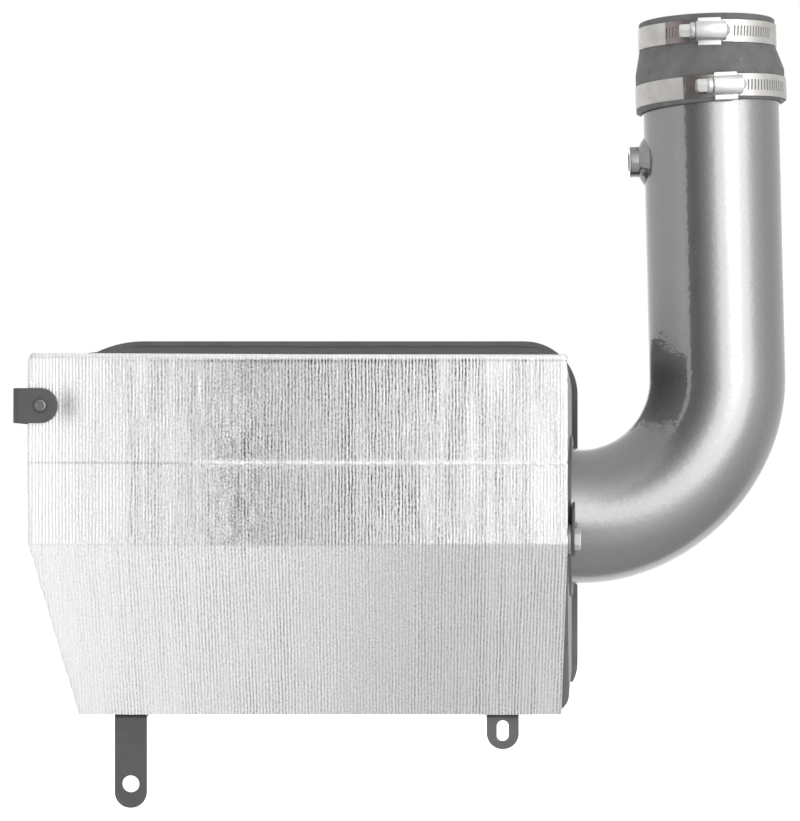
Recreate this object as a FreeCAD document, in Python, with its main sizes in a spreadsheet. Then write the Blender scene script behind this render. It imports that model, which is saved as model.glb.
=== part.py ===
import FreeCAD, Part
import math
import os
import re

import Sketcher

# Cold air intake: a bent metal pipe with a rubber reducer on its port end and a cone filter on its
# inner end, carried by a sheet heat shield whose front is lined with a ribbed foil mat.
# The origin is the centre of the port, +Z is up along the shield, -Y is the foil-lined front.
# Lengths are millimetres and angles are degrees.
SIZES = {
    # Pipe: long leg up to the port, one bend, short leg into the shield
    "pipe_outer": 82.55,
    "pipe_wall": 1.65,
    "bend_radius": 82.55,
    "bend_flattening": 1.3,
    "upper_lean": 1.35,
    "port_height": 297.9,
    "wall_to_bend": 6.0,
    "inner_reach": 60.0,
    # Sensor bung welded to the long leg
    "bung_drop": 83.3,
    "bung_bore": 12.0,
    "bung_spigot": 19.0,
    "bung_length": 8.7,
    "bung_weld": 29.4,
    "bung_weld_rise": 2.6,
    # Reducer hose
    "port_bore": 73.0,
    "hose_wall": 3.4,
    "hose_length": 54.0,
    "hose_upper": 19.6,
    "hose_taper": 15.0,
    "hose_bend": 6.0,
    "hose_fit": 0.1,
    "hose_stop": 1.2,
    # Worm-drive clamps
    "band_width": 14.3,
    "band_thick": 0.7,
    "band_gap": 0.05,
    "upper_clamp_drop": 10.4,
    "lower_clamp_drop": 43.7,
    "upper_clamp_turn": -4.6,
    "lower_clamp_turn": 5.7,
    "filter_clamp_turn": 150.0,
    "slot_pitch": 3.0,
    "slot_width": 1.1,
    "slot_height": 6.4,
    "housing_length": 17.6,
    "housing_radius": 5.5,
    "housing_sheet": 0.9,
    "saddle_length": 13.2,
    "saddle_lip": 0.9,
    "screw_radius": 4.3,
    "screw_rise": 4.9,
    "collar_radius": 5.4,
    "collar_length": 3.6,
    "screw_flats": 7.94,
    "screw_head": 6.2,
    # Cone filter inside the shield
    "neck_wall": 5.0,
    "neck_length": 38.0,
    "filter_base": 140.0,
    "base_thick": 18.0,
    "media_length": 142.0,
    "media_base": 132.0,
    "media_top": 110.0,
    "pleat_depth": 14.0,
    "paper_inset": 5.0,
    "filter_cap": 117.0,
    "cap_thick": 14.0,
    # Heat shield shell
    "shell_wall": 1.5,
    "shield_width": 322.2,
    "shield_top": 100.2,
    "shield_drop": 117.0,
    "front_depth": 82.5,
    "rim_start": 68.0,
    "rim_lip": 12.0,
    "side_draft": 4.75,
    "top_draft": 3.0,
    "face_lean": 1.0,
    "ridge_rise": 33.7,
    "crease_drop": 12.1,
    "facet_angle": 30.0,
    "lower_slant": 14.5,
    "front_corner": 7.0,
    "front_corner_left": 30.0,
    "rear_corner_right": 30.0,
    "rear_corner_left": 64.0,
    "rear_corner_low": 22.0,
    # How far the outlines that cut the shell and the mat run past them
    "cut_room": 20.0,
    # Foil mat
    "mat_thick": 2.5,
    "mat_setback": 0.0,
    # Rubber edging
    "trim_cover": 3.5,
    "trim_depth": 10.0,
    "trim_gap": 0.2,
    "trim_end": 107.0,
    "hole_trim_gap": 0.9,
    "hole_trim_web": 2.2,
    "hole_trim_leg": 6.0,
    "hole_trim_side": 1.6,
    # Brackets
    "bracket_sheet": 2.5,
    "bracket_width": 20.0,
    "bracket_height": 66.5,
    "bracket_lap": 17.1,
    "bracket_stand": 8.6,
    "bracket_back": 60.0,
    "bracket_hole": 7.0,
    "strap_width": 19.05,
    "strap_inset": 263.2,
    "strap_length": 56.3,
    "strap_hole": 10.2,
    "strap_hole_up": 14.2,
    "slotted_inset": 41.3,
    "slotted_length": 21.3,
    "slot_tab_width": 7.2,
    "slot_tab_length": 12.6,
    "slot_tab_up": 4.6,
    "flange_length": 30.0,
    "flange_setback": 3.5,
    "bend_inside": 1.0,
    # Rivets
    "rivet_shank": 4.0,
    "rivet_head": 7.9,
    "rivet_head_rise": 1.6,
    "rivet_eye": 3.7,
    "rivet_tail": 5.6,
    "rivet_tail_rise": 2.0,
    "rivet_gap": 0.15,
    "rivet_pitch": 14.0,
    "rivet_edge": 10.0,
    # Pipe mounting tab and its screw
    "tab_thick": 1.6,
    "tab_rise": 21.0,
    "tab_end": 10.0,
    "bolt_forward": 58.2,
    "bolt_drop": 11.1,
    "bolt_diameter": 6.0,
    "bolt_gap": 0.3,
    "bolt_flats": 11.1,
    "bolt_head": 3.6,
    "bolt_beyond": 2.0,
    "washer_outer": 17.2,
    "washer_thick": 2.3,
    "nut_flats": 10.0,
    "nut_thick": 5.0,
}

PLEATS = 50
BEND_SECTIONS = 13
SLOTS_LEFT = 13
SLOTS_RIGHT = 20
TAIL_RIGHT = 4

Vector = FreeCAD.Vector
doc = FreeCAD.newDocument("cold_air_intake")
sheet = doc.addObject("Spreadsheet::Sheet", "Sizes")
for row, (alias, size) in enumerate(SIZES.items(), start=1):
    sheet.set(f"A{row}", alias.replace("_", " "))
    sheet.set(f"B{row}", str(size))
    sheet.setAlias(f"B{row}", alias)
doc.recompute()

# Frames, as expressions. The upper frame runs up the long leg, the shield frame sits where the
# pipe's axis meets the side wall, and the wall frame is turned square to that drafted wall.
def placed(frame, base=("0", "0", "0"), axis=(0, 0, 1), turn="0"):
    """Return the placement expression of a frame that is moved by base and turned about an axis."""
    spot, line = "; ".join(base), "; ".join(str(share) for share in axis)
    local = f"placement(vector({spot}); rotation(vector({line}); {turn}))"
    return f"{frame} * {local}" if frame else local


BEND_X = (
    "((port_height - bend_radius * (1 + sin(upper_lean * 1deg))) * tan(upper_lean * 1deg)"
    " - bend_radius * cos(upper_lean * 1deg))"
)
UPPER = placed("", axis=(0, -1, 0), turn="upper_lean")
BUNG = placed(UPPER, ("0", "0", "-bung_drop"), (0, -1, 0), "90")
SHIELD = placed("", (f"{BEND_X} - wall_to_bend", "0", "-port_height"))
WALL = placed(SHIELD, axis=(0, 0, -1), turn="side_draft")
INWARD = placed(SHIELD, axis=(0, -1, 0), turn="90")

PIPE_RADIUS = "pipe_outer / 2"
HOLE_RADIUS = "(pipe_outer / 2 + hole_trim_gap + hole_trim_web)"
NECK_START = "(inner_reach + hose_stop - neck_length)"
BASE_START = "(inner_reach + hose_stop)"
MEDIA_START = f"({BASE_START} + base_thick)"
CAP_START = f"({MEDIA_START} + media_length)"
RIVET_HOLE = "rivet_shank / 2 + rivet_gap"
FOOT = "((shield_drop - crease_drop) * tan(facet_angle * 1deg) - front_depth + flange_setback)"
RIVET_ACROSS = "(front_depth * tan(side_draft * 1deg) - shield_width + bracket_lap - bracket_width / 2)"
MAT_FACE = (
    "((bracket_height - ridge_rise) * tan(face_lean * 1deg)"
    " - mat_thick / cos(face_lean * 1deg) - front_depth)"
)
BRACKET = placed(SHIELD, (RIVET_ACROSS, MAT_FACE, "bracket_height"), (-1, 0, 0), "face_lean")
BRACKET_RIVET = placed(BRACKET, ("0", "-bracket_sheet", "0"), (1, 0, 0), "90")
SCREW = placed(WALL, ("0", "-bolt_forward", "-bolt_drop"), (0, 1, 0), "90")


def bound(text):
    """Return the expression with every size name pointing at its cell."""
    return re.sub(r"[a-z]\w*", lambda word: "Sizes." + word[0] if word[0] in SIZES else word[0], text)


def number(text):
    """Return the present value of an expression."""
    value = sheet.evalExpression(bound(text))
    return float(getattr(value, "Value", value))


def new_body(label, frame=None):
    """Start a piece whose local frame is the given placement expression."""
    body = doc.addObject("PartDesign::Body", label)
    body.Label = label
    if frame:
        body.setExpression("Placement", bound(frame))
    return body


def origin_part(body, role):
    """Return one of the body's own origin planes or axes."""
    return next(item for item in body.Origin.OriginFeatures if item.Role == role)


def new_sketch(body, role, shift="0", turn_axis=None, turn="0"):
    """Attach a sketch to an origin plane, moved along its normal and turned about a local axis."""
    sketch = body.newObject("Sketcher::SketchObject", f"{body.Name}_sketch")
    sketch.AttachmentSupport = [(origin_part(body, role), "")]
    sketch.MapMode = "FlatFace"
    if turn_axis is not None:
        sketch.AttachmentOffset = FreeCAD.Placement(Vector(), FreeCAD.Rotation(turn_axis, 1))
        sketch.setExpression("AttachmentOffset.Rotation.Angle", bound(turn))
    sketch.setExpression("AttachmentOffset.Base.z", bound(shift))
    return sketch


def constrain(sketch, kind, *where, size):
    """Add a dimension that follows an expression."""
    index = sketch.addConstraint(Sketcher.Constraint(kind, *where, number(size)))
    sketch.setExpression(f"Constraints[{index}]", bound(size))


def pin(sketch, element, end, across, up):
    """Fix a point at the given expressions from the sketch's origin."""
    constrain(sketch, "DistanceX", -1, 1, element, end, size=across)
    constrain(sketch, "DistanceY", -1, 1, element, end, size=up)


def add_circle(sketch, across, up, radius):
    """Draw a circle."""
    circle = Part.Circle(Vector(number(across), number(up), 0), Vector(0, 0, 1), number(radius))
    element = sketch.addGeometry(circle, False)
    pin(sketch, element, 3, across, up)
    constrain(sketch, "Radius", element, size=radius)


def corner_arc(before, corner, after, radius):
    """Return where a rounded corner starts, ends and has its centre."""
    back = (before - corner).normalize()
    ahead = (after - corner).normalize()
    half = back.getAngle(ahead) / 2
    reach = radius / math.tan(half)
    centre = corner + (back + ahead).normalize() * (radius / math.sin(half))
    return corner + back * reach, corner + ahead * reach, centre


def add_outline(sketch, corners):
    """Draw a closed outline; each corner is (across, up) or (across, up, radius)."""
    points = [Vector(number(corner[0]), number(corner[1]), 0) for corner in corners]
    count = len(points)
    first = sketch.GeometryCount
    rounds = [None] * count
    for i, corner in enumerate(corners):
        if len(corner) == 3:
            rounds[i] = corner_arc(points[i - 1], points[i], points[(i + 1) % count], number(corner[2]))
    for i in range(count):
        following = (i + 1) % count
        start = rounds[i][1] if rounds[i] else points[i]
        end = rounds[following][0] if rounds[following] else points[following]
        sketch.addGeometry(Part.LineSegment(start, end), False)
    for i, corner in enumerate(corners):
        arriving, leaving = first + (i - 1) % count, first + i
        if not rounds[i]:
            sketch.addConstraint(Sketcher.Constraint("Coincident", arriving, 2, leaving, 1))
            pin(sketch, leaving, 1, corner[0], corner[1])
            continue
        start, end, centre = rounds[i]
        forward = (start - centre).cross(end - centre).z > 0
        sweep = [start, end] if forward else [end, start]
        angles = [math.atan2(point.y - centre.y, point.x - centre.x) for point in sweep]
        circle = Part.Circle(centre, Vector(0, 0, 1), number(corner[2]))
        arc = sketch.addGeometry(Part.ArcOfCircle(circle, *angles), False)
        tip = sketch.addGeometry(Part.Point(points[i]), True)
        near, far = (1, 2) if forward else (2, 1)
        sketch.addConstraint(Sketcher.Constraint("Tangent", arriving, 2, arc, near))
        sketch.addConstraint(Sketcher.Constraint("Tangent", arc, far, leaving, 1))
        sketch.addConstraint(Sketcher.Constraint("PointOnObject", tip, 1, arriving))
        sketch.addConstraint(Sketcher.Constraint("PointOnObject", tip, 1, leaving))
        constrain(sketch, "Radius", arc, size=corner[2])
        pin(sketch, tip, 1, corner[0], corner[1])


def add_rectangle(sketch, left, right, low, high):
    """Draw an upright rectangle between the given sides."""
    add_outline(sketch, [(right, high), (left, high), (left, low), (right, low)])


def add_arch(sketch, foot, crown, radius):
    """Draw an arch lying on its side: straight legs from foot and a half round about crown."""
    near, far, reach = number(foot), number(crown), number(radius)
    start, middle = Vector(near, reach, 0), Vector(far, 0, 0)
    back = Vector(near, -reach, 0)
    runs = [(start, Vector(far, reach, 0)), (Vector(far, -reach, 0), back), (back, start)]
    legs = [sketch.addGeometry(Part.LineSegment(*run), False) for run in runs]
    circle = Part.Circle(middle, Vector(0, 0, 1), reach)
    arc = sketch.addGeometry(Part.ArcOfCircle(circle, math.pi / 2, 3 * math.pi / 2), False)
    sketch.addConstraint(Sketcher.Constraint("Coincident", legs[0], 2, arc, 1))
    sketch.addConstraint(Sketcher.Constraint("Coincident", arc, 2, legs[1], 1))
    sketch.addConstraint(Sketcher.Constraint("Coincident", legs[1], 2, legs[2], 1))
    sketch.addConstraint(Sketcher.Constraint("Coincident", legs[2], 2, legs[0], 1))
    pin(sketch, arc, 3, crown, "0")
    pin(sketch, arc, 1, crown, radius)
    pin(sketch, legs[0], 1, foot, radius)
    pin(sketch, legs[1], 2, foot, f"-({radius})")
    constrain(sketch, "DistanceX", -1, 1, legs[1], 1, size=crown)


def add_hexagon(sketch, across_flats):
    """Draw a hexagon about the sketch's origin."""
    reach = f"{across_flats} / 2 / cos(30deg)"
    turns = [f"{60 * k}deg" for k in range(6)]
    add_outline(sketch, [(f"{reach} * cos({turn})", f"{reach} * sin({turn})") for turn in turns])


def add_feature(body, kind, profile, length=None, **settings):
    """Add a sketch-based feature and check that a cut removes material."""
    doc.recompute()
    before = body.Shape.Volume if body.Tip else 0
    feature = body.newObject("PartDesign::" + kind, f"{body.Name}_{kind}")
    feature.Profile = profile
    if length is not None:
        feature.setExpression("Length", bound(length))
    for name, value in settings.items():
        setattr(feature, name, value)
    doc.recompute()
    if kind == "Pocket" and not body.Shape.Volume < before:
        raise ValueError(f"{feature.Name} removes nothing")
    return feature


def lathe(body, corners):
    """Turn a half section, given as radius and height, about the body's Z axis."""
    sketch = new_sketch(body, "XZ_Plane")
    add_outline(sketch, corners)
    add_feature(body, "Revolution", sketch, ReferenceAxis=(sketch, ["V_Axis"]), Angle=360)


def level(edge, axis, height):
    """Say whether both ends of an edge lie at a height along the named axis."""
    return all(abs(getattr(vertex, axis) - height) < 1e-6 for vertex in edge.Vertexes)


def through(edge, axis, across, height):
    """Say whether an edge runs straight along one axis with its middle at a height along another."""
    ends = [vertex.Point for vertex in edge.Vertexes]
    if len(ends) != 2:
        return False
    along = (ends[1] - ends[0]).normalize()
    straight = abs(abs(getattr(along, axis.lower())) - 1) < 1e-6
    return straight and abs(getattr(edge.CenterOfMass, across.lower()) - height) < 1e-6


def fillet(body, radius, chosen):
    """Round the edges of the body's tip that the test picks."""
    doc.recompute()
    base = body.Tip
    names = [f"Edge{i}" for i, edge in enumerate(base.Shape.Edges, start=1) if chosen(edge)]
    rounding = body.newObject("PartDesign::Fillet", f"{body.Name}_Fillet")
    rounding.Base = (base, names)
    rounding.setExpression("Radius", bound(radius))
    doc.recompute()


# Intake pipe
def bend_section(turned, shrink):
    """Return the tube's section wire after the given share of the bend, drawn in by shrink."""
    lean = math.radians(number("upper_lean"))
    heading = lean - turned * (math.pi / 2 + lean)
    outwards = Vector(math.cos(heading), 0, math.sin(heading))
    loss = number("bend_flattening") * math.sin(math.pi * turned) ** 2 / 2
    centre = Vector(number(BEND_X), 0, number("bend_radius - port_height"))
    centre += outwards * (number("bend_radius") - loss)
    radius = number(PIPE_RADIUS) - shrink
    section = Part.Wire([Part.Ellipse(Vector(), radius, radius - loss).toShape()])
    along = Vector(0, 1, 0).cross(outwards)
    section.Placement = FreeCAD.Placement(centre, FreeCAD.Rotation(Vector(0, 1, 0), outwards, along, "XYZ"))
    return section


def tube_solid(shrink):
    """Return the filled tube: two straight legs joined by a bend whose outer side is flattened."""
    lean = math.radians(number("upper_lean"))
    radius = number(PIPE_RADIUS) - shrink
    down = Vector(math.sin(lean), 0, -math.cos(lean))
    leg = number("(port_height - bend_radius * (1 + sin(upper_lean * 1deg))) / cos(upper_lean * 1deg)")
    top = number("hose_upper + hose_taper + hose_stop")
    long_leg = Part.makeCylinder(radius, leg - top, down * top, down)
    foot = Vector(number(BEND_X), 0, -number("port_height"))
    short_leg = Part.makeCylinder(radius, number("wall_to_bend + inner_reach"), foot, Vector(-1, 0, 0))
    sections = [bend_section(k / (BEND_SECTIONS - 1), shrink) for k in range(BEND_SECTIONS)]
    bend = Part.makeLoft(sections, True, False)
    return long_leg.fuse([bend, short_leg])


def make_pipe():
    """Bent tube with the sensor hole through one wall."""
    blank = doc.addObject("Part::Feature", "pipe_blank")
    blank.Shape = tube_solid(0).cut(tube_solid(number("pipe_wall")))
    drill = doc.addObject("Part::Cylinder", "sensor_hole")
    drill.setExpression("Radius", bound("bung_bore / 2"))
    drill.setExpression("Height", bound("pipe_outer"))
    drill.setExpression("Placement", bound(BUNG))
    pipe = doc.addObject("Part::Cut", "intake_pipe")
    pipe.Base = blank
    pipe.Tool = drill
    return pipe


def make_bung():
    """Threaded boss with a weld fillet, saddled on the tube."""
    body = new_body("sensor_bung", BUNG)
    face = f"{PIPE_RADIUS} + bung_length"
    lathe(body, [
        ("bung_bore / 2", "pipe_outer / 2 - bung_weld / 4"),
        ("bung_weld / 2 + pipe_wall", "pipe_outer / 2 - bung_weld / 4"),
        ("bung_weld / 2", PIPE_RADIUS),
        ("bung_spigot / 2", f"{PIPE_RADIUS} + bung_weld_rise"),
        ("bung_spigot / 2", face),
        ("bung_bore / 2", face),
    ])
    saddle = new_sketch(body, "YZ_Plane")
    add_circle(saddle, "0", "0", PIPE_RADIUS)
    add_feature(body, "Pocket", saddle, "pipe_outer", Midplane=True)
    return body


# Reducer hose
def make_hose():
    """Rubber reducer with a straight cuff at each end."""
    body = new_body("coupler_hose", UPPER)
    small, large = "port_bore / 2", "(pipe_outer / 2 + hose_fit)"
    taper_end = "-hose_upper - hose_taper"
    lathe(body, [
        (small, "0"),
        (f"{small} + hose_wall", "0", "hose_wall / 4"),
        (f"{small} + hose_wall", "-hose_upper", "hose_bend"),
        (f"{large} + hose_wall", taper_end, "hose_bend"),
        (f"{large} + hose_wall", "-hose_length", "hose_wall / 4"),
        (large, "-hose_length"),
        (large, taper_end),
        (small, "-hose_upper"),
    ])
    return body


# Worm-drive clamps
def clamp_band(label, frame, inside):
    """Perforated strip closed on itself, with its free end lying over it under the housing."""
    body = new_body(f"{label}_band", frame)
    ring = new_sketch(body, "XY_Plane")
    add_circle(ring, "0", "0", inside)
    add_circle(ring, "0", "0", f"{inside} + band_thick")
    add_feature(body, "Pad", ring, "band_width", Midplane=True)
    down, half = Vector(0, -1, 0), "band_width / 2"
    tail = new_sketch(body, "XZ_Plane", turn_axis=down, turn=f"90 + slot_pitch * {SLOTS_LEFT + 1}")
    low, high = f"{inside} + band_thick / 2", f"{inside} + 2 * band_thick"
    add_rectangle(tail, low, high, f"-{half}", half)
    over = add_feature(body, "Revolution", tail, ReferenceAxis=(tail, ["V_Axis"]), Angle=40)
    over.setExpression("Angle", bound(f"slot_pitch * {SLOTS_LEFT + TAIL_RIGHT}"))
    slot = new_sketch(body, "XZ_Plane", turn_axis=down, turn=f"slot_pitch * {SLOTS_LEFT}")
    add_rectangle(slot, "-slot_width / 2", "slot_width / 2", "-slot_height / 2", "slot_height / 2")
    first = add_feature(body, "Pocket", slot, f"{inside} + 3 * band_thick", Reversed=True)
    pattern = body.newObject("PartDesign::PolarPattern", f"{label}_slots")
    pattern.Originals = [first]
    pattern.Axis = (origin_part(body, "Z_Axis"), [""])
    pattern.setExpression("Angle", bound(f"slot_pitch * {SLOTS_LEFT + SLOTS_RIGHT}"))
    pattern.Occurrences = SLOTS_LEFT + SLOTS_RIGHT + 1
    body.Tip = pattern
    return body


def clamp_housing(label, frame, inside):
    """Pressed saddle with its barrel over the screw, astride the band."""
    body = new_body(f"{label}_housing", frame)
    outside = f"({inside} + 2 * band_thick + band_gap)"
    lip = "(band_width / 2 + saddle_lip)"
    crown = f"-{outside} - screw_rise"
    saddle = new_sketch(body, "YZ_Plane")
    add_rectangle(saddle, f"-{outside} - housing_sheet", f"-{inside}", f"-{lip}", lip)
    add_feature(body, "Pad", saddle, "saddle_length", Midplane=True)
    barrel = new_sketch(body, "YZ_Plane")
    add_arch(barrel, f"-{outside} + band_thick", crown, "housing_radius")
    add_feature(body, "Pad", barrel, "housing_length", Midplane=True)
    bore = new_sketch(body, "YZ_Plane")
    add_arch(bore, f"-{outside} + 2 * band_thick", crown, "housing_radius - housing_sheet")
    add_feature(body, "Pocket", bore, "housing_length * 2", Midplane=True)
    seat = new_sketch(body, "XY_Plane")
    add_circle(seat, "0", "0", outside)
    add_feature(body, "Pocket", seat, "band_width + 2 * band_gap", Midplane=True)
    return body


def clamp_screw(label, frame, inside):
    """Worm screw with a collar, a hexagon head and a pointed tip."""
    rise = f"({inside} + 2 * band_thick + band_gap + screw_rise)"
    body = new_body(f"{label}_screw", placed(frame, ("0", f"-{rise}", "0"), (0, 1, 0), "90"))
    half = "(housing_length / 2 + band_gap)"
    tip = f"{half} + screw_radius / 2"
    lathe(body, [
        ("0", f"-{half} - collar_length"),
        ("collar_radius", f"-{half} - collar_length", "collar_length / 4"),
        ("collar_radius", f"-{half}"),
        ("screw_radius", f"-{half}"),
        ("screw_radius", f"{half} - screw_radius / 4"),
        ("screw_radius * 0.45", tip),
        ("0", tip),
    ])
    head = new_sketch(body, "XY_Plane", shift=f"-{half} - collar_length - screw_head")
    add_hexagon(head, "screw_flats")
    add_feature(body, "Pad", head, "screw_head")
    body.Tip.Refine = True
    return body


def make_clamp(label, frame, inside):
    """Band, housing and screw of one clamp; the housing sits at the frame's -Y side."""
    return [make(label, frame, inside) for make in (clamp_band, clamp_housing, clamp_screw)]


# Cone filter, each piece turned about the pipe's short leg with Z running into the shield
def filter_flange():
    """Moulded base: a neck clamped on the pipe and a thick plate that holds the pleats."""
    body = new_body("filter_flange", INWARD)
    bore, plate = f"{PIPE_RADIUS} + hose_fit", "filter_base / 2"
    inner = "(pipe_outer / 2 - pipe_wall)"
    lathe(body, [
        (bore, NECK_START),
        (f"{bore} + neck_wall", NECK_START, "neck_wall / 3"),
        (f"{bore} + neck_wall", BASE_START, "neck_wall / 2"),
        (plate, BASE_START, "base_thick / 4"),
        (plate, MEDIA_START, "base_thick / 8"),
        (inner, MEDIA_START),
        (inner, BASE_START),
        (bore, BASE_START),
    ])
    return body


def star(depth, tip, valley):
    """Return a closed zigzag of pleats about the filter's axis."""
    step = math.pi / PLEATS
    corners = [
        Vector(radius * math.cos(k * step), radius * math.sin(k * step), depth)
        for k, radius in enumerate([tip, valley] * PLEATS)
    ]
    return Part.makePolygon(corners + corners[:1])


def filter_media():
    """Pleated sleeve, a zigzag sheet that narrows evenly from the base to the cap."""
    start, end = number(MEDIA_START), number(CAP_START)
    narrow = number("media_top / media_base")

    def cone(inset):
        tip = number("media_base") / 2 - inset
        valley = tip - number("pleat_depth")
        ends = [star(start, tip, valley), star(end, tip * narrow, valley * narrow)]
        return Part.makeLoft(ends, True, True)

    media = doc.addObject("Part::Feature", "filter_media")
    media.Shape = cone(0).cut(cone(number("paper_inset")))
    media.setExpression("Placement", bound(INWARD))
    return media


def filter_cap():
    """Moulded end cap with a shallow dished face."""
    body = new_body("filter_cap", INWARD)
    end, edge = f"({CAP_START} + cap_thick)", "filter_cap / 2"
    lathe(body, [
        ("0", CAP_START),
        (edge, CAP_START, "cap_thick / 6"),
        (edge, end, "cap_thick / 3"),
        (f"{edge} * 0.72", end, "cap_thick / 4"),
        (f"{edge} * 0.66", f"{end} - cap_thick / 4", "cap_thick / 4"),
        ("0", f"{end} - cap_thick / 4"),
    ])
    return body


# Heat shield
def shield_corners(depth, inset, right_round, left_round, low_round):
    """Return the shell's outline at a depth, drawn in by inset; a minus inset lies outside."""
    right = f"(({depth}) * tan(side_draft * 1deg))"
    left = f"(-shield_width - ({depth}) * tan(side_draft * 1deg))"
    top = f"shield_top + ({depth}) * tan(top_draft * 1deg) - ({inset})"
    slant = "(lower_slant * 1deg)"
    fall = f"(shield_drop - crease_drop - ({inset}))"
    low = f"({inset}) - shield_drop"
    low_round = f"{low_round} - ({inset})"
    return [
        (f"{right} - ({inset})", top, f"{right_round} - ({inset})"),
        (f"{left} + ({inset})", top, f"{left_round} - ({inset})"),
        (f"{left} + ({inset})", f"({inset}) * tan({slant} / 2) - crease_drop", low_round),
        (f"{left} + ({inset}) / cos({slant}) + {fall} * tan({slant})", low, low_round),
        (f"{right} - ({inset})", low, low_round),
    ]


def rim_corners(inset):
    """Return the outline of the shell's straight rear lip."""
    return shield_corners("rim_start", inset, "rear_corner_right", "rear_corner_left", "rear_corner_low")


def face_profile(inset, top, low):
    """Return the faceted front seen from the side, from top to bottom, moved in by inset."""
    lean, facet = "(face_lean * 1deg)", "(facet_angle * 1deg)"
    face = f"(({inset}) - front_depth)"
    return [
        (f"({inset}) / cos({lean}) - front_depth + (({top}) - ridge_rise) * tan({lean})", top),
        (face, f"ridge_rise - ({inset}) * tan({lean} / 2)"),
        (face, f"({inset}) * tan({facet} / 2) - crease_drop"),
        (f"({inset}) / cos({facet}) - front_depth - (crease_drop + ({low})) * tan({facet})", low),
    ]


def tapered_box(body, inset, beyond):
    """Drafted box with a faceted front and a straight lip, drawn in by inset."""
    depth = "-(front_depth + shell_wall)"
    front = new_sketch(body, "XZ_Plane", shift="front_depth + shell_wall")
    add_outline(front, shield_corners(depth, inset, "front_corner", "front_corner_left", "front_corner"))
    rear = new_sketch(body, "XZ_Plane", shift="-rim_start")
    add_outline(rear, rim_corners(inset))
    add_feature(body, "AdditiveLoft", front, Sections=[rear], Ruled=True)
    lip = new_sketch(body, "XZ_Plane", shift="-rim_start")
    add_outline(lip, rim_corners(inset))
    add_feature(body, "Pad", lip, f"rim_lip + {beyond}", Reversed=True)
    facets = new_sketch(body, "YZ_Plane")
    top, low = "shield_top + cut_room", "-shield_drop - cut_room"
    stock = "-(front_depth + 2 * cut_room)"
    add_outline(facets, face_profile(inset, top, low) + [(stock, low), (stock, top)])
    add_feature(body, "Pocket", facets, "shield_width * 3", Midplane=True)


def make_shell():
    """Hollow shell, open at the rear, with its holes."""
    cavity = new_body("shield_cavity")
    tapered_box(cavity, "shell_wall", "cut_room")
    body = new_body("shield_shell", SHIELD)
    tapered_box(body, "0", "0")
    hollow = body.newObject("PartDesign::Boolean", "shield_hollow")
    hollow.Type = "Cut"
    hollow.setObjects([cavity])
    wall = new_sketch(body, "YZ_Plane", turn_axis=Vector(0, -1, 0), turn="side_draft")
    add_circle(wall, "0", "0", HOLE_RADIUS)
    add_circle(wall, "-bolt_forward", "-bolt_drop", "bolt_diameter / 2 + bolt_gap")
    add_feature(body, "Pocket", wall, "shell_wall * 8", Midplane=True)
    floor = new_sketch(body, "XY_Plane", shift="-shield_drop")
    for inset in ("strap_inset", "slotted_inset"):
        for back in rivet_rows():
            add_circle(floor, f"-{inset}", back, RIVET_HOLE)
    add_feature(body, "Pocket", floor, "shell_wall * 8", Midplane=True)
    face = new_sketch(body, "XZ_Plane", shift="front_depth")
    add_circle(face, RIVET_ACROSS, "bracket_height", RIVET_HOLE)
    add_feature(body, "Pocket", face, "shell_wall * 8", Midplane=True)
    return body


def make_mat():
    """Ribbed foil mat bonded on the facets, cut to the shell's front outline."""
    left = "(front_depth * tan(side_draft * 1deg) - shield_width)"
    right = "(-front_depth * tan(side_draft * 1deg))"
    body = new_body("insulation_mat", SHIELD)
    side = new_sketch(body, "YZ_Plane", shift=left)
    top, low = "(shield_top - front_depth * tan(top_draft * 1deg) - mat_setback)", "-shield_drop"
    outer = face_profile("-mat_thick", top, low)
    inner = face_profile("0", top, low)
    add_outline(side, outer + inner[::-1])
    add_feature(body, "Pad", side, f"{right} - {left}")
    drift = "(tan(lower_slant * 1deg) - tan(facet_angle * 1deg) * tan(side_draft * 1deg))"
    beyond, bottom = "(shield_drop - crease_drop + cut_room)", "-shield_drop - cut_room"
    trim = new_sketch(body, "XZ_Plane")
    add_outline(trim, [
        (left, "-crease_drop"),
        (f"{left} - cut_room", "-crease_drop"),
        (f"{left} - cut_room", bottom),
        (f"{left} + {beyond} * {drift}", bottom),
    ])
    add_feature(body, "Pocket", trim, "front_depth * 4", Midplane=True)
    hole = new_sketch(body, "XZ_Plane", shift="front_depth")
    add_circle(hole, RIVET_ACROSS, "bracket_height", RIVET_HOLE)
    add_feature(body, "Pocket", hole, "mat_thick * 8", Midplane=True)
    return body


def make_rim_trim():
    """Rubber edging pushed over the rear lip, ending above the lower corners."""
    body = new_body("rim_trim", SHIELD)
    start = "(rim_start + rim_lip - trim_depth)"
    channel = new_sketch(body, "XZ_Plane", shift=f"-{start}")
    add_outline(channel, rim_corners("-trim_cover"))
    add_outline(channel, rim_corners("shell_wall + trim_cover"))
    add_feature(body, "Pad", channel, "trim_depth + trim_cover / 2", Reversed=True)
    outer_depth = number(f"{start} + trim_depth + trim_cover / 2")
    fillet(body, "trim_cover * 0.7", lambda edge: level(edge, "Y", outer_depth))
    slot = new_sketch(body, "XZ_Plane", shift=f"-{start} - trim_depth - trim_gap")
    add_outline(slot, rim_corners("-trim_gap"))
    add_outline(slot, rim_corners("shell_wall + trim_gap"))
    add_feature(body, "Pocket", slot, "trim_depth * 2", Reversed=True)
    end = new_sketch(body, "XZ_Plane")
    wide = "shield_width * 2"
    add_rectangle(end, f"-{wide}", wide, "-shield_drop * 2", "-trim_end")
    add_feature(body, "Pocket", end, "rim_start * 4", Midplane=True)
    return body


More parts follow.
